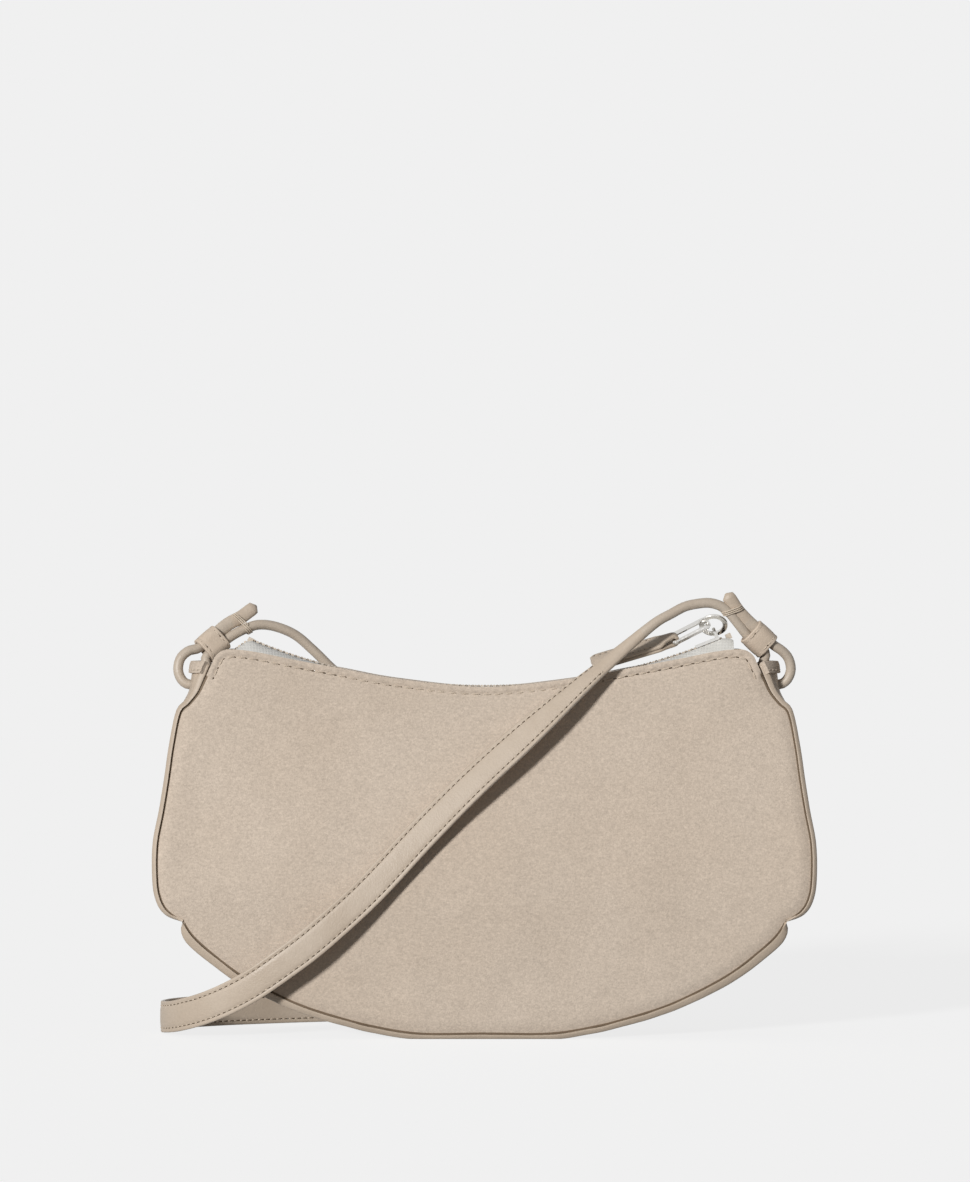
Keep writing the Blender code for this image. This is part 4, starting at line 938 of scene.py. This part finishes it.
def make_keeper(name, route, target, body):
    """A stitched sleeve round both strands."""
    points = smooth_line(route, int(distances(route)[-1] / KEEPER_LOOK_STEP))
    centre, run, spread = nearest_pair(points, Vector(target))
    wide = spread.length + 2.0 * CORD_RADIUS + 2.0 * KEEPER_CLEARANCE
    tall = 2.0 * CORD_RADIUS + 2.0 * KEEPER_CLEARANCE
    across = spread.normalized()
    up = run.cross(across)
    if up.y > 0.0:
        up = -up

    def ring_at(share, out):
        base = centre + run * (share * KEEPER_LENGTH)
        line = oval(wide + out * KEEPER_WALL, tall + out * KEEPER_WALL, KEEPER_ROUND)
        return [base + across * p.x + up * p.y for p in line]

    rings = [ring_at(share, 2.0 * out) for share, out in KEEPER_SHAPE]
    rings += [ring_at(share, 0.0) for share in KEEPER_INNER]
    add_loft(name + "_sleeve", rings, (KEEPER_LEATHER,), (name,), body, closed=True)
    outer = oval(wide + KEEPER_STITCH_OUT * KEEPER_WALL, tall + KEEPER_STITCH_OUT * KEEPER_WALL,
                 KEEPER_ROUND)
    normals = [((across * p.x + up * p.y) - across * (p.x * 0.6)).normalized() for p in outer]
    lines = []
    for share in (-KEEPER_STITCH_SHARE, KEEPER_STITCH_SHARE):
        line = ring_at(share, KEEPER_STITCH_OUT)
        lines.append((line + line[:1], normals + normals[:1]))
    add_stitches(name + "_stitches", lines, STRAP_STITCH_PITCH, STRAP_THREAD, body)


# Panels


def panel_loop():
    """The panel's outline, closed, from the middle of the base round by the right side."""
    right = BASE_LINE[LINE_STEPS // 2 :] + SIDE_LINE[1:]
    right += [point for point in reversed(TOP_LINE) if point.x >= 0.0][1:]
    left = [Vector((-point.x, point.y)) for point in reversed(right)]
    points = right + left
    lengths = distances(points)
    spans = spans_at(lengths, [lengths[-1] * k / PANEL_POINTS for k in range(PANEL_POINTS)])
    return [points[j].lerp(points[j + 1], share) for j, share in spans]


def edge_distance(loop, i, spot):
    """How far a place lies from the outline near one of the outline's points."""
    best = (loop[i] - spot).length
    for k in range(i - EDGE_WINDOW, i + EDGE_WINDOW):
        a = loop[k % len(loop)]
        run = loop[(k + 1) % len(loop)] - a
        share = clamp((spot - a).dot(run) / run.length_squared)
        best = min(best, (a + run * share - spot).length)
    return best


def stitch_line(rings):
    """Places between the rings that lie at the topstitch's distance from the edge."""
    line = []
    for i in range(PANEL_POINTS):
        for (_, outer, far), (_, inner, near) in zip(rings, rings[1:]):
            if near[i] >= TOPSTITCH_DROP:
                share = (TOPSTITCH_DROP - far[i]) / (near[i] - far[i])
                line.append(outer[i].lerp(inner[i], share))
                break
    return line


def panel_depth(spot, side, share, edge, stitched, arc):
    """How far the panel's face stands out: crown, rolled seam, stitched fold and waves."""
    bow = math.cos(math.pi / 2.0 * CROWN_WIDE * spot.x / HALF_WIDTH) ** CROWN_POWER
    depth = half_depth(spot.y) + PANEL_CROWN * math.sin(math.pi / 2.0 * min(share, 1.0)) * bow
    roll = max(1.0 - edge / SEAM_ROLL_WIDTH, 0.0)
    depth -= SEAM_ROLL_DEPTH * roll * roll * (1.0 - stitched)
    turn = math.cos(2.0 * math.pi * arc / TOPSTITCH_PITCH)
    groove = bell(edge, TOPSTITCH_DROP, GROOVE_WIDTH) * stitched
    depth -= GROOVE_DEPTH * groove * (0.75 + 0.25 * turn)
    puff = bell(edge, TOPSTITCH_DROP * 0.42, GROOVE_WIDTH * 1.1)
    depth += FOLD_PUFF * puff * (1.0 - 0.3 * turn) * stitched
    wave = noise.noise(Vector((spot.x, side * 0.3, spot.y)) / WAVE_SIZE)
    wave += 0.4 * noise.noise(Vector((spot.x, side * 0.9, spot.y)) / (WAVE_SIZE * 0.4))
    return depth + WAVE_HEIGHT * wave * min(edge / WAVE_FADE, 1.0)


def panel_rings(side):
    """Rings from the panel's edge in to its spine, its topstitch, and the seam faces coloured
    darker as painted shade.
    """
    loop = panel_loop()
    count = len(loop)
    spine_z = SPINE_SHARE * BODY_HEIGHT
    reach = TOP_SHARES[0][1] * BODY_HEIGHT - spine_z
    shares = [distance / reach for distance in PANEL_EDGE_RINGS]
    rest = 1.0 - shares[-1]
    shares += [shares[-1] + rest * (k + 1) / PANEL_RINGS for k in range(PANEL_RINGS)]
    spine = [Vector(((loop[i].x + loop[(count // 2 - i) % count].x) / 2.0 * SPINE_SHARE,
                     spine_z)) for i in range(count)]
    flat = []
    for share in shares:
        ring = [p.lerp(end, share) for p, end in zip(loop, spine)]
        near = [edge_distance(loop, i, p) if share < EDGE_SHARE_MOST else 1.0
                for i, p in enumerate(ring)]
        flat.append((share, ring, near))
    stitched = [clamp((p.y - GUSSET_TOP_Z) / 0.002 + 2.0)
                if abs(p.x) > 0.5 * HALF_WIDTH else float(p.y > spine_z) for p in loop]
    line = stitch_line(flat)
    arcs = distances(line)
    rings = []
    for share, ring, near in flat:
        points = []
        for i, spot in enumerate(ring):
            if share == 0.0:
                run = (loop[(i + 1) % count] - loop[i - 1]).normalized()
                spot = spot + Vector((run.y, -run.x)) * (SEAM_TUCK * (1.0 - stitched[i]))
            depth = panel_depth(spot, side, share, near[i], stitched[i], arcs[i])
            points.append(Vector((spot.x, side * depth, spot.y)))
        rings.append(points)
    seam = []
    for i, spot in enumerate(line):
        if stitched[i] > 0.5:
            depth = half_depth(spot.y) + GROOVE_DEPTH * 0.1
            seam.append(Vector((spot.x, side * depth, spot.y)))
    # Painted shade: the outermost rings beside the unstitched seams take the darker seam colour,
    # as a shadow line in the gap
    dark = [1 if j < SEAM_SHADE_RINGS and stitched[i] < 0.5 else 0
            for j in range(len(rings) - 1) for i in range(count)]
    return rings, seam, dark


def make_panels():
    """The suede faces with rolled seams, a folded top edge and its topstitch."""
    for face, side in FRONT_AND_BACK:
        name = face + "_panel"
        rings, seam, dark = panel_rings(side)
        count = len(rings[0])
        points = [point for ring in rings for point in ring]
        faces = loft_faces(len(rings), count, caps=False)
        if side > 0.0:
            faces = [corners[::-1] for corners in faces]
        panel = add_piece(name + "_suede", points, faces, (SUEDE, PAINTED_SEAM_SHADE),
                          (name,), marks=dark)
        mesh = bmesh.new()
        mesh.from_mesh(panel.data)
        bmesh.ops.remove_doubles(mesh, verts=mesh.verts, dist=SPINE_MERGE)
        mesh.to_mesh(panel.data)
        mesh.free()
        add_shell(panel, PANEL_THICK, RIM_BEVEL)
        out = Vector((0.0, side, 0.0))
        add_stitches(name + "_topstitch", [(seam, [out] * len(seam))], TOPSTITCH_PITCH,
                     TOPSTITCH_THREAD)


# Gussets and binding


def roll_height(x):
    share = min(abs(x) / (SIDE_SHARES[0][0] * HALF_WIDTH), 1.0)
    ending = min((1.0 - share) / BASE_END_SHARE, 1.0)
    swell = BASE_ROLL_MIDDLE + (BASE_ROLL_END - BASE_ROLL_MIDDLE) * share * share
    return swell * math.sqrt(max(ending, 0.0))


def seam_turn(edge):
    """1 at a seam's edge and 0 past the width over which the leather turns into it."""
    near = max(1.0 - edge / GUSSET_ROLL_WIDTH, 0.0)
    return 1.0 - math.sqrt(max(1.0 - near * near, 0.0))


def seam_ridge(edge):
    """How far the rolled seam stands out beside the groove that follows it."""
    return SEAM_RIDGE * (bell(edge, SEAM_RIDGE_AT, SEAM_RIDGE_WIDTH)
                         - bell(edge, SEAM_GROOVE_AT, SEAM_RIDGE_WIDTH))


def across_shares():
    inner = [-0.9 + 1.8 * k / GUSSET_ACROSS for k in range(GUSSET_ACROSS + 1)]
    edge = [1.0, 0.9985, 0.994, 0.985, 0.97, 0.955, 0.94, 0.925, 0.91]
    return [-value for value in edge] + inner + list(reversed(edge))


def make_base_gusset():
    """The leather strip round the curved bottom, rolled over both seams."""
    skip = int(round(LINE_STEPS * BASE_START_SHARE))
    seam = smooth_line(BASE_LINE[skip : len(BASE_LINE) - skip], BASE_SPANS)
    across = across_shares()
    end_x = seam[-1].x
    points = []
    for spot, normal in zip(seam, normals_2d(seam)):
        depth = half_depth(spot.y) - GUSSET_SIDE_GAP
        for share in across:
            past = max(abs(share) - BASE_FLAT_SHARE, 0.0) / (1.0 - BASE_FLAT_SHARE)
            full = roll_height(spot.x) * math.sqrt(max(1.0 - past * past, 0.0))
            ending = min((end_x - abs(spot.x)) / BASE_CLOSE_LENGTH, 1.0)
            out = (SEAM_GAP + GUSSET_THICK) * math.sqrt(max(ending, 0.0)) + full
            edge = (1.0 - abs(share)) * depth
            out -= (out - SEAM_GAP) * seam_turn(edge)
            out += seam_ridge(edge) * max(ending, 0.0)
            pucker = noise.noise(Vector((spot.x * 120.0, share * 2.0, 3.0)))
            out += BASE_PUCKER * pucker * max(1.0 - edge / 0.006, 0.0) - 0.0001
            place_2d = spot + normal * out
            points.append(Vector((place_2d.x, share * depth, max(place_2d.y, 0.0))))
    faces = grid_faces(len(across) - 1, len(seam) - 1)
    gusset = add_piece("base_gusset_leather", points, faces, (GUSSET_LEATHER,),
                       ("base_gusset",))
    add_shell(gusset, GUSSET_THICK * 0.8, 0.0003)


def side_index(z):
    for i, point in enumerate(SIDE_LINE):
        if point.y >= z:
            return i / (len(SIDE_LINE) - 1)
    return 1.0


def side_skin(share, across):
    """A point on the outer face of the right side gusset."""
    i = min(int(round(share * (len(SIDE_LINE) - 1))), len(SIDE_LINE) - 1)
    spot = SIDE_LINE[i]
    out = spot + SIDE_NORMALS[i] * (SIDE_SEAM_GAP + GUSSET_THICK)
    rise = (spot.y - TAB_ARCH_LOW_Z) / (GUSSET_TOP_Z - TAB_ARCH_LOW_Z)
    arch = TAB_ARCH * clamp(rise) * (1.0 - across * across)
    y = across * (half_depth(spot.y) - GUSSET_SIDE_GAP)
    return Vector((out.x + arch, y, out.y))


def side_normal(share, across):
    """The outward normal of the right side gusset at a point."""
    step = 0.01
    up = side_skin(min(share + step, 1.0), across) - side_skin(max(share - step, 0.0), across)
    over = side_skin(share, min(across + step, 1.0)) - side_skin(share, max(across - step, -1.0))
    normal = over.cross(up).normalized()
    return normal if normal.x > 0.0 else -normal


def hole_cutter(sign):
    bpy.ops.mesh.primitive_cylinder_add(
        vertices=32, radius=HOLE_RADIUS, depth=HOLE_CUTTER_LENGTH,
        location=(sign * side_skin(side_index(HOLE_Z), 0.0).x, 0.0, HOLE_Z),
        rotation=(0.0, math.pi / 2.0, 0.0),
    )
    return bpy.context.active_object


def make_side_gussets():
    """The leather strips up both sides, each with its strap hole and its binding."""
    across = across_shares()
    reach = side_index(GUSSET_TOP_Z) - SIDE_START_SHARE
    shares = [SIDE_START_SHARE + reach * j / GUSSET_ROWS for j in range(GUSSET_ROWS + 1)]
    for side, sign in (("left", -1.0), ("right", 1.0)):
        points = []
        for share in shares:
            for cross in across:
                spot = side_skin(share, cross)
                edge = (1.0 - abs(cross)) * half_depth(spot.z)
                turn = (SIDE_SEAM_GAP + GUSSET_THICK - SEAM_GAP) * seam_turn(edge)
                ripple = noise.noise(Vector((spot.z * 60.0, cross * 1.5, sign * 5.0)))
                sink = turn + SIDE_RIPPLE * (1.0 + ripple * min(edge / 0.004, 1.0))
                sink -= seam_ridge(edge)
                narrow = max(1.0 - share / SIDE_TAPER_SHARE, 0.0)
                sink += (SIDE_SEAM_GAP + GUSSET_THICK - sink) * narrow * narrow
                points.append(spot - side_normal(share, cross) * sink)
        if sign < 0.0:
            points = mirror_x(points)
        faces = grid_faces(len(across) - 1, GUSSET_ROWS, flip=sign < 0.0)
        gusset = add_piece("side_gusset_" + side + "_leather", points, faces,
                           (GUSSET_LEATHER,), ("side_gusset_" + side,))
        add_shell(gusset, GUSSET_THICK * 0.8)
        cutter = hole_cutter(sign)
        cut = gusset.modifiers.new("strap_hole", "BOOLEAN")
        cut.operation = "DIFFERENCE"
        cut.solver = "EXACT"
        cut.object = cutter
        bake_modifiers(gusset)
        bpy.data.objects.remove(cutter, do_unlink=True)
        make_binding(side, sign)


def make_binding(side, sign):
    """The leather band folded over the top of a side gusset, with its stitches."""
    low = side_index(GUSSET_TOP_Z - BINDING_HEIGHT)
    high = side_index(GUSSET_TOP_Z)
    far = SEAM_GAP + BINDING_THICK
    inner_far = GUSSET_THICK + far
    up = Vector((0.0, 0.0, 1.0))
    rings = []
    line = []
    normals = []
    for i in range(BINDING_COLUMNS + 1):
        across = BINDING_ACROSS_SHARE * (2.0 * i / BINDING_COLUMNS - 1.0)
        foot = side_skin(low, across)
        foot_out = side_normal(low, across)
        head = side_skin(high, across)
        head_out = side_normal(high, across)
        middle = foot.lerp(head, 0.5)
        middle_out = foot_out.lerp(head_out, 0.5).normalized()
        ring = [
            foot + foot_out * (far * 0.15), foot + foot_out * (far * 0.8),
            foot.lerp(head, 0.12) + foot_out * far,
            foot.lerp(head, 0.30) + middle_out * (far * 0.82), middle + middle_out * far,
            foot.lerp(head, 0.85) + head_out * far,
            head + head_out * (far * 0.6) + up * (far * 0.75), head + up * far,
            head - head_out * inner_far * 0.7 + up * (far * 0.75), head - head_out * inner_far,
            middle - middle_out * inner_far, foot - foot_out * inner_far,
            foot - foot_out * (GUSSET_THICK * 0.7),
        ]
        spot = foot.lerp(head, 0.30) + middle_out * (far * 0.86)
        if sign < 0.0:
            ring = mirror_x(ring)
            spot, middle_out = mirror_x([spot, middle_out])
        rings.append(ring)
        line.append(spot)
        normals.append(middle_out)
    name = "gusset_binding_" + side
    add_loft(name + "_suede", rings, (SUEDE,), (name,))
    add_stitches(name + "_stitches", [(line, normals)], BINDING_PITCH, BINDING_THREAD)


# Inside


def lining_grid(us, vs):
    """Rows of (x, z) places that fill the panel's outline, drawn in from its seams."""
    side = to_line(SIDE_LINE[: int(round(LINE_STEPS * LINING_TOP_SHARE)) + 1], vs)
    bottom = to_line(mirrored(outline(BOTTOM_SHARES)), us)
    side = [p - n * LINING_INSET for p, n in zip(side, normals_2d(side))]
    bottom = [p - n * LINING_INSET for p, n in zip(bottom, normals_2d(bottom))]
    side[0] = bottom[-1] = (side[0] + bottom[-1]) / 2.0
    bottom[0] = Vector((-bottom[-1].x, bottom[-1].y))
    stretch = side[-1].x / SIDE_LINE[-1].x
    drop = SIDE_LINE[-1].y - SIDE_LINE[int(LINE_STEPS * LINING_TOP_SHARE)].y
    top = to_line(mirrored(outline(TOP_SHARES)), us)
    top = [Vector((p.x * stretch, p.y - drop)) for p in top]
    side[-1] = top[-1].copy()
    grid = []
    for v, edge in zip(vs, side):
        low = (bottom[0] * (1.0 - v) + top[0] * v, bottom[-1] * (1.0 - v) + top[-1] * v)
        line = []
        for u, foot, head in zip(us, bottom, top):
            left = Vector((-edge.x, edge.y))
            ruled = foot * (1.0 - v) + head * v + left * (1.0 - u) + edge * u
            line.append(ruled - low[0] * (1.0 - u) - low[1] * u)
        grid.append(line)
    return grid


def lining_crown(u, v):
    """How full the lining is, from 0 at its seams and rim to 1 in the middle."""
    return math.sin(math.pi * u) ** LINING_ROUNDNESS * math.sin(math.pi * v)


def make_lining():
    """The sewn lining, one bag that is open at its top, with slack folds."""
    us = [i / LINING_COLUMNS for i in range(LINING_COLUMNS + 1)]
    vs = [j / LINING_ROWS for j in range(LINING_ROWS + 1)]
    grid = lining_grid(us, vs)
    halves = []
    for side in (-1.0, 1.0):
        points = []
        for j, row in enumerate(grid):
            for i, spot in enumerate(row):
                full = lining_crown(us[i], vs[j])
                fold = noise.noise(Vector((spot.x * 55.0, side * 2.0, spot.y * 12.0)))
                depth = half_depth(spot.y) - LINING_INSET + PANEL_CROWN * full
                depth -= LINING_FOLD * (1.0 + fold) * min(full * 3.0, 1.0)
                points.append(Vector((spot.x, side * depth, spot.y)))
        halves.append(points)
    front, back = halves
    points = front + back
    faces = grid_faces(LINING_COLUMNS, LINING_ROWS)
    faces += grid_faces(LINING_COLUMNS, LINING_ROWS, flip=True, start=len(front))
    wide = LINING_COLUMNS + 1
    rim = [j * wide for j in range(LINING_ROWS, 0, -1)] + list(range(wide))
    rim += [j * wide + LINING_COLUMNS for j in range(1, LINING_ROWS + 1)]
    ladder = []
    for index in rim:
        line = [index]
        for k in range(1, LINING_SIDE_SPANS):
            points.append(front[index].lerp(back[index], k / LINING_SIDE_SPANS))
            line.append(len(points) - 1)
        line.append(index + len(front))
        ladder.append(line)
    for a, b in zip(ladder, ladder[1:]):
        for k in range(len(a) - 1):
            faces.append((a[k], a[k + 1], b[k + 1], b[k]))
    lining = add_piece("lining_cloth", points, faces, (LINING_CLOTH,),
                       ("lining",))
    add_shell(lining, LINING_THICK)


def make_facings():
    """The strips inside the mouth that carry the zip tapes."""
    columns = FACING_COLUMNS
    rows = FACING_ROWS
    outer = MOUTH_HALF_DEPTH - PANEL_THICK - 3.0 * SEAM_GAP - TAPE_THICK
    for face, side in FRONT_AND_BACK:
        name = "facing_" + face
        points = []
        for j in range(rows + 1):
            drop = FACING_DROP + FACING_HEIGHT * (1.0 - j / rows)
            for i in range(columns + 1):
                x = FACING_HALF_LENGTH * (2.0 * i / columns - 1.0)
                points.append(Vector((x, side * outer, top_z(x) - drop)))
        facing = add_piece(name + "_suede", points, grid_faces(columns, rows, side > 0.0),
                           (SUEDE,), (name,))
        add_shell(facing, FACING_THICK, 0.0003)


# Zip


def zip_frame(x):
    """Place, run and upward normal of the zip line at a place along the width."""
    angle = math.asin(x / ZIP_RADIUS)
    centre = Vector((0.0, 0.0, ZIP_LOW_Z + ZIP_RADIUS))
    spot = centre + Vector((math.sin(angle), 0.0, -math.cos(angle))) * ZIP_RADIUS
    run = Vector((math.cos(angle), 0.0, math.sin(angle)))
    return spot, run, Vector((-math.sin(angle), 0.0, math.cos(angle)))


def tape_z(x):
    """Height of the tapes' inner edges, which droop past both ends of the teeth."""
    left = max((DROOP_LEFT_X - x) / (DROOP_LEFT_X - TAPE_LEFT_X), 0.0)
    right = max((x - DROOP_RIGHT_X) / (TAPE_RIGHT_X - DROOP_RIGHT_X), 0.0)
    held = min(max(x, DROOP_LEFT_X), DROOP_RIGHT_X)
    return zip_frame(held)[0].z - DROOP_LEFT * left - DROOP_RIGHT * right


def make_tapes():
    """The woven tapes, from the teeth to a leg between the panel and the facing."""
    leg_outer = MOUTH_HALF_DEPTH - PANEL_THICK - SEAM_GAP
    leg_inner = leg_outer - TAPE_THICK
    flat_y = SLIDER_HALF_WIDTH + SLIDER_CLEARANCE
    for face, side in FRONT_AND_BACK:
        name = "zip_tape_" + face
        rings = []
        for i in range(TAPE_STATIONS + 1):
            x = TAPE_LEFT_X + (TAPE_RIGHT_X - TAPE_LEFT_X) * i / TAPE_STATIONS
            z = tape_z(x)
            shelf = top_z(x) - SEAM_GAP
            half = TAPE_THICK / 2.0
            section = [
                (TAPE_INNER_Y, z + half), (flat_y, z + half),
                (flat_y * 0.66 + leg_outer * 0.34, (z + half) * 0.75 + shelf * 0.25),
                (flat_y * 0.33 + leg_outer * 0.67, (z + half) * 0.3 + shelf * 0.7),
                (leg_outer - 0.0004, shelf), (leg_outer, shelf - 0.0004),
                (leg_outer, shelf - TAPE_LEG), (leg_inner, shelf - TAPE_LEG),
                (leg_inner, shelf - TAPE_THICK),
                (flat_y * 0.33 + leg_inner * 0.67, (z - half) * 0.3 + (shelf - TAPE_THICK) * 0.7),
                (flat_y * 0.66 + leg_inner * 0.34,
                 (z - half) * 0.75 + (shelf - TAPE_THICK) * 0.25),
                (flat_y, z - half), (TAPE_INNER_Y, z - half),
            ]
            rings.append([Vector((x, side * y, height)) for y, height in section])
        add_loft(name + "_weave", rings, (TAPE_CLOTH,), (name,))


def make_teeth():
    """Two meshed rows of teeth along the tapes' inner edges."""
    first = math.asin(TEETH_LEFT_X / ZIP_RADIUS) * ZIP_RADIUS
    last = math.asin(TEETH_RIGHT_X / ZIP_RADIUS) * ZIP_RADIUS
    count = int((last - first) / TOOTH_PITCH)
    half = TOOTH_HEIGHT / 2.0
    bevel = TOOTH_BEVEL
    for name, side, shift in (("zip_teeth_front", -1.0, 0.25), ("zip_teeth_back", 1.0, 0.75)):
        points = []
        faces = []
        for k in range(count):
            arc = first + (k + shift) * TOOTH_PITCH
            spot, run, up = zip_frame(ZIP_RADIUS * math.sin(arc / ZIP_RADIUS))
            if spot.x < DROOP_LEFT_X:
                ahead = Vector((TOOTH_PITCH, 0.0, tape_z(spot.x + TOOTH_PITCH) - tape_z(spot.x)))
                run = ahead.normalized()
                up = Vector((-run.z, 0.0, run.x))
                spot.z = tape_z(spot.x)
            start = len(points)
            for step, shrink in ((-0.5, bevel), (-0.25, 0.0), (0.25, 0.0), (0.5, bevel)):
                head = -TOOTH_REACH + shrink
                foot = TOOTH_OUTER_Y
                rise = half - shrink
                for y, z in ((head, -rise * 0.7), (head + bevel, -rise), (foot, -rise),
                             (foot, rise), (head + bevel, rise), (head, rise * 0.7)):
                    points.append(spot + run * (step * TOOTH_LENGTH)
                                  + Vector((0.0, side * y, 0.0)) + up * z)
            faces += [tuple(start + i for i in face) for face in loft_faces(4, 6)]
        teeth = add_piece(name + "_metal", points, faces, (TEETH_METAL,),
                          (name,), smooth=False)
        face_out(teeth)


def make_tab():
    """The folded leather pull tab, stitched near its edges."""
    far = Vector(TAB_HINGE)
    side = Vector(TAB_AXIS).normalized()
    run = Vector((-math.cos(TAB_SLOPE), 0.0, math.sin(TAB_SLOPE)))
    run = (run - side * run.dot(side)).normalized()
    up = side.cross(run)
    fold = LINK_WIRE + PULL_PLAY + TAB_LEATHER / 2.0
    close = (TAB_LEATHER + SEAM_GAP) / 2.0
    leg = [(TAB_LENGTH * (1.0 - k / TAB_STEPS) + TAB_NECK_LENGTH * k / TAB_STEPS, close)
           for k in range(TAB_STEPS + 1)]
    leg += [(TAB_NECK_LENGTH * TAB_NECK_SHARE, (close + fold) / 2.0)]
    path = list(leg)
    for k in range(13):
        angle = math.pi / 2.0 + math.pi * k / 12
        path.append((fold * math.cos(angle), fold * math.sin(angle)))
    path += [(a, -b) for a, b in reversed(leg)]
    places = [far + run * a + up * b for a, b in path]
    rings = []
    for i, (spot, (reach, _)) in enumerate(zip(places, path)):
        face = side.cross(run_at(places, i))
        share = ease((reach - TAB_NECK_START) / (TAB_NECK_LENGTH - TAB_NECK_START))
        width = (TAB_NECK_WIDTH + (TAB_WIDTH - TAB_NECK_WIDTH) * share) / 2.0
        end = max(1.0 - (TAB_LENGTH - reach) / TAB_TIP_LENGTH, 0.0)
        width *= 1.0 - TAB_TIP_NARROW * end * end
        rings.append([spot + side * (width * a) + face * (TAB_LEATHER / 2.0 * b)
                      for a, b in TAB_SECTION])
    add_loft("pull_tab_leather", rings, (STRAP_LEATHER,), ("pull_tab",), "tab_body")
    lines = []
    out = close + TAB_LEATHER / 2.0
    span = TAB_LENGTH - TAB_NECK_LENGTH - TAB_STITCH_START - TAB_STITCH_END
    for edge in (-1.0, 1.0):
        for layer in (-1.0, 1.0):
            line = []
            for k in range(TAB_STEPS + 1):
                reach = TAB_NECK_LENGTH + TAB_STITCH_START + span * k / TAB_STEPS
                line.append(far + run * reach + side * (edge * (TAB_WIDTH / 2.0 - TAB_STITCH_IN))
                            + up * (layer * out))
            lines.append((line, [up * layer] * len(line)))
    add_stitches("pull_tab_stitches", lines, TAB_PITCH, TAB_THREAD, "tab_body")


# Rigid nodes, floor and light


def dress_nodes():
    """Materials and softened edges for the rigid nodes."""
    for name, look, width in (
        ("zip_slider", SILVER, 0.00018), ("pull_ring", SILVER, 0.0), ("pull_link", SILVER, 0.0),
        ("zip_stop_bottom", TEETH_METAL, 0.0003), ("zip_stop_top_front", TEETH_METAL, 0.0003),
        ("zip_stop_top_back", TEETH_METAL, 0.0003), ("base_board", BOARD_FIBRE, 0.0003),
        ("side_backing_left", GUSSET_LEATHER, 0.0), ("side_backing_right", GUSSET_LEATHER, 0.0),
    ):
        node = NODES[name]
        node.data.materials.clear()
        node.data.materials.append(look)
        add_bevel(node, width, 2, 35.0)


FLOOR_HALF = 4.0
PALE = rgb(240, 240, 240)
FLOOR_ALBEDO = 0.16
FLOOR_BOUNCE = 0.10
KEY_FROM = Vector((-0.47, -0.84, 0.24)).normalized()
KEY_POWER = 3.20
KEY_SPREAD = math.radians(7.0)
SKY_POWER = 0.20


def seen_share(look):
    """1 on rays that the camera or a mirror sends, 0 on the others."""
    path = add_node(look, "ShaderNodeLightPath")
    return largest(look, path.outputs["Is Camera Ray"], path.outputs["Is Glossy Ray"])


def pale_look():
    """A pale floor, of which the part that the light gives stays open to shadow."""
    look = bpy.data.materials.new("pale_floor")
    look.use_nodes = True
    tree = look.node_tree
    tree.nodes.clear()
    lit = add_node(look, "ShaderNodeBsdfDiffuse",
                   Color=(FLOOR_ALBEDO, FLOOR_ALBEDO, FLOOR_ALBEDO, 1.0))
    given = FLOOR_ALBEDO * (KEY_POWER * KEY_FROM.z / math.pi + SKY_POWER)
    rest = PALE[0] - given
    glow = add_node(look, "ShaderNodeEmission", Color=(rest, rest, rest, 1.0),
                    Strength=largest(look, seen_share(look), FLOOR_BOUNCE))
    both = tree.nodes.new("ShaderNodeAddShader")
    tree.links.new(lit.outputs[0], both.inputs[0])
    tree.links.new(glow.outputs[0], both.inputs[1])
    out = tree.nodes.new("ShaderNodeOutputMaterial")
    tree.links.new(both.outputs[0], out.inputs["Surface"])
    return look


def make_stage():
    """A flat pale floor."""
    corners = [Vector((x * FLOOR_HALF, y * FLOOR_HALF, 0.0))
               for x, y in ((-1.0, -1.0), (1.0, -1.0), (1.0, 1.0), (-1.0, 1.0))]
    mesh = bpy.data.meshes.new("floor")
    mesh.from_pydata([tuple(corner) for corner in corners], [], [(0, 1, 2, 3)])
    mesh.materials.append(pale_look())
    add_object("floor", mesh)


def make_light():
    """A key from the upper left of the front, and an even pale room."""
    world = bpy.data.worlds.new("studio")
    bpy.context.scene.world = world
    world.use_nodes = True
    tree = world.node_tree
    sky = tree.nodes["Background"]
    sky.inputs["Color"].default_value = (1.0, 1.0, 1.0, 1.0)
    strength = add_node(world, "ShaderNodeMapRange", Value=seen_share(world),
                        To_Min=SKY_POWER, To_Max=PALE[0])
    tree.links.new(strength.outputs["Result"], sky.inputs["Strength"])
    data = bpy.data.lights.new("key", "SUN")
    data.energy = KEY_POWER
    data.angle = KEY_SPREAD
    key = add_object("key", data)
    key.rotation_euler = (-KEY_FROM).to_track_quat("-Z", "Y").to_euler()
    bpy.context.scene.view_settings.view_transform = "Standard"


make_camera()
make_strap()
make_keeper("keeper_right", CORD_ROUTE_RIGHT, KEEPER_RIGHT_AT, "keeper_right_body")
make_keeper("keeper_left", CORD_ROUTE_LEFT, KEEPER_LEFT_AT, "keeper_left_body")
make_panels()
make_base_gusset()
make_side_gussets()
make_lining()
make_facings()
make_tapes()
make_teeth()
make_tab()
dress_nodes()
make_stage()
make_light()
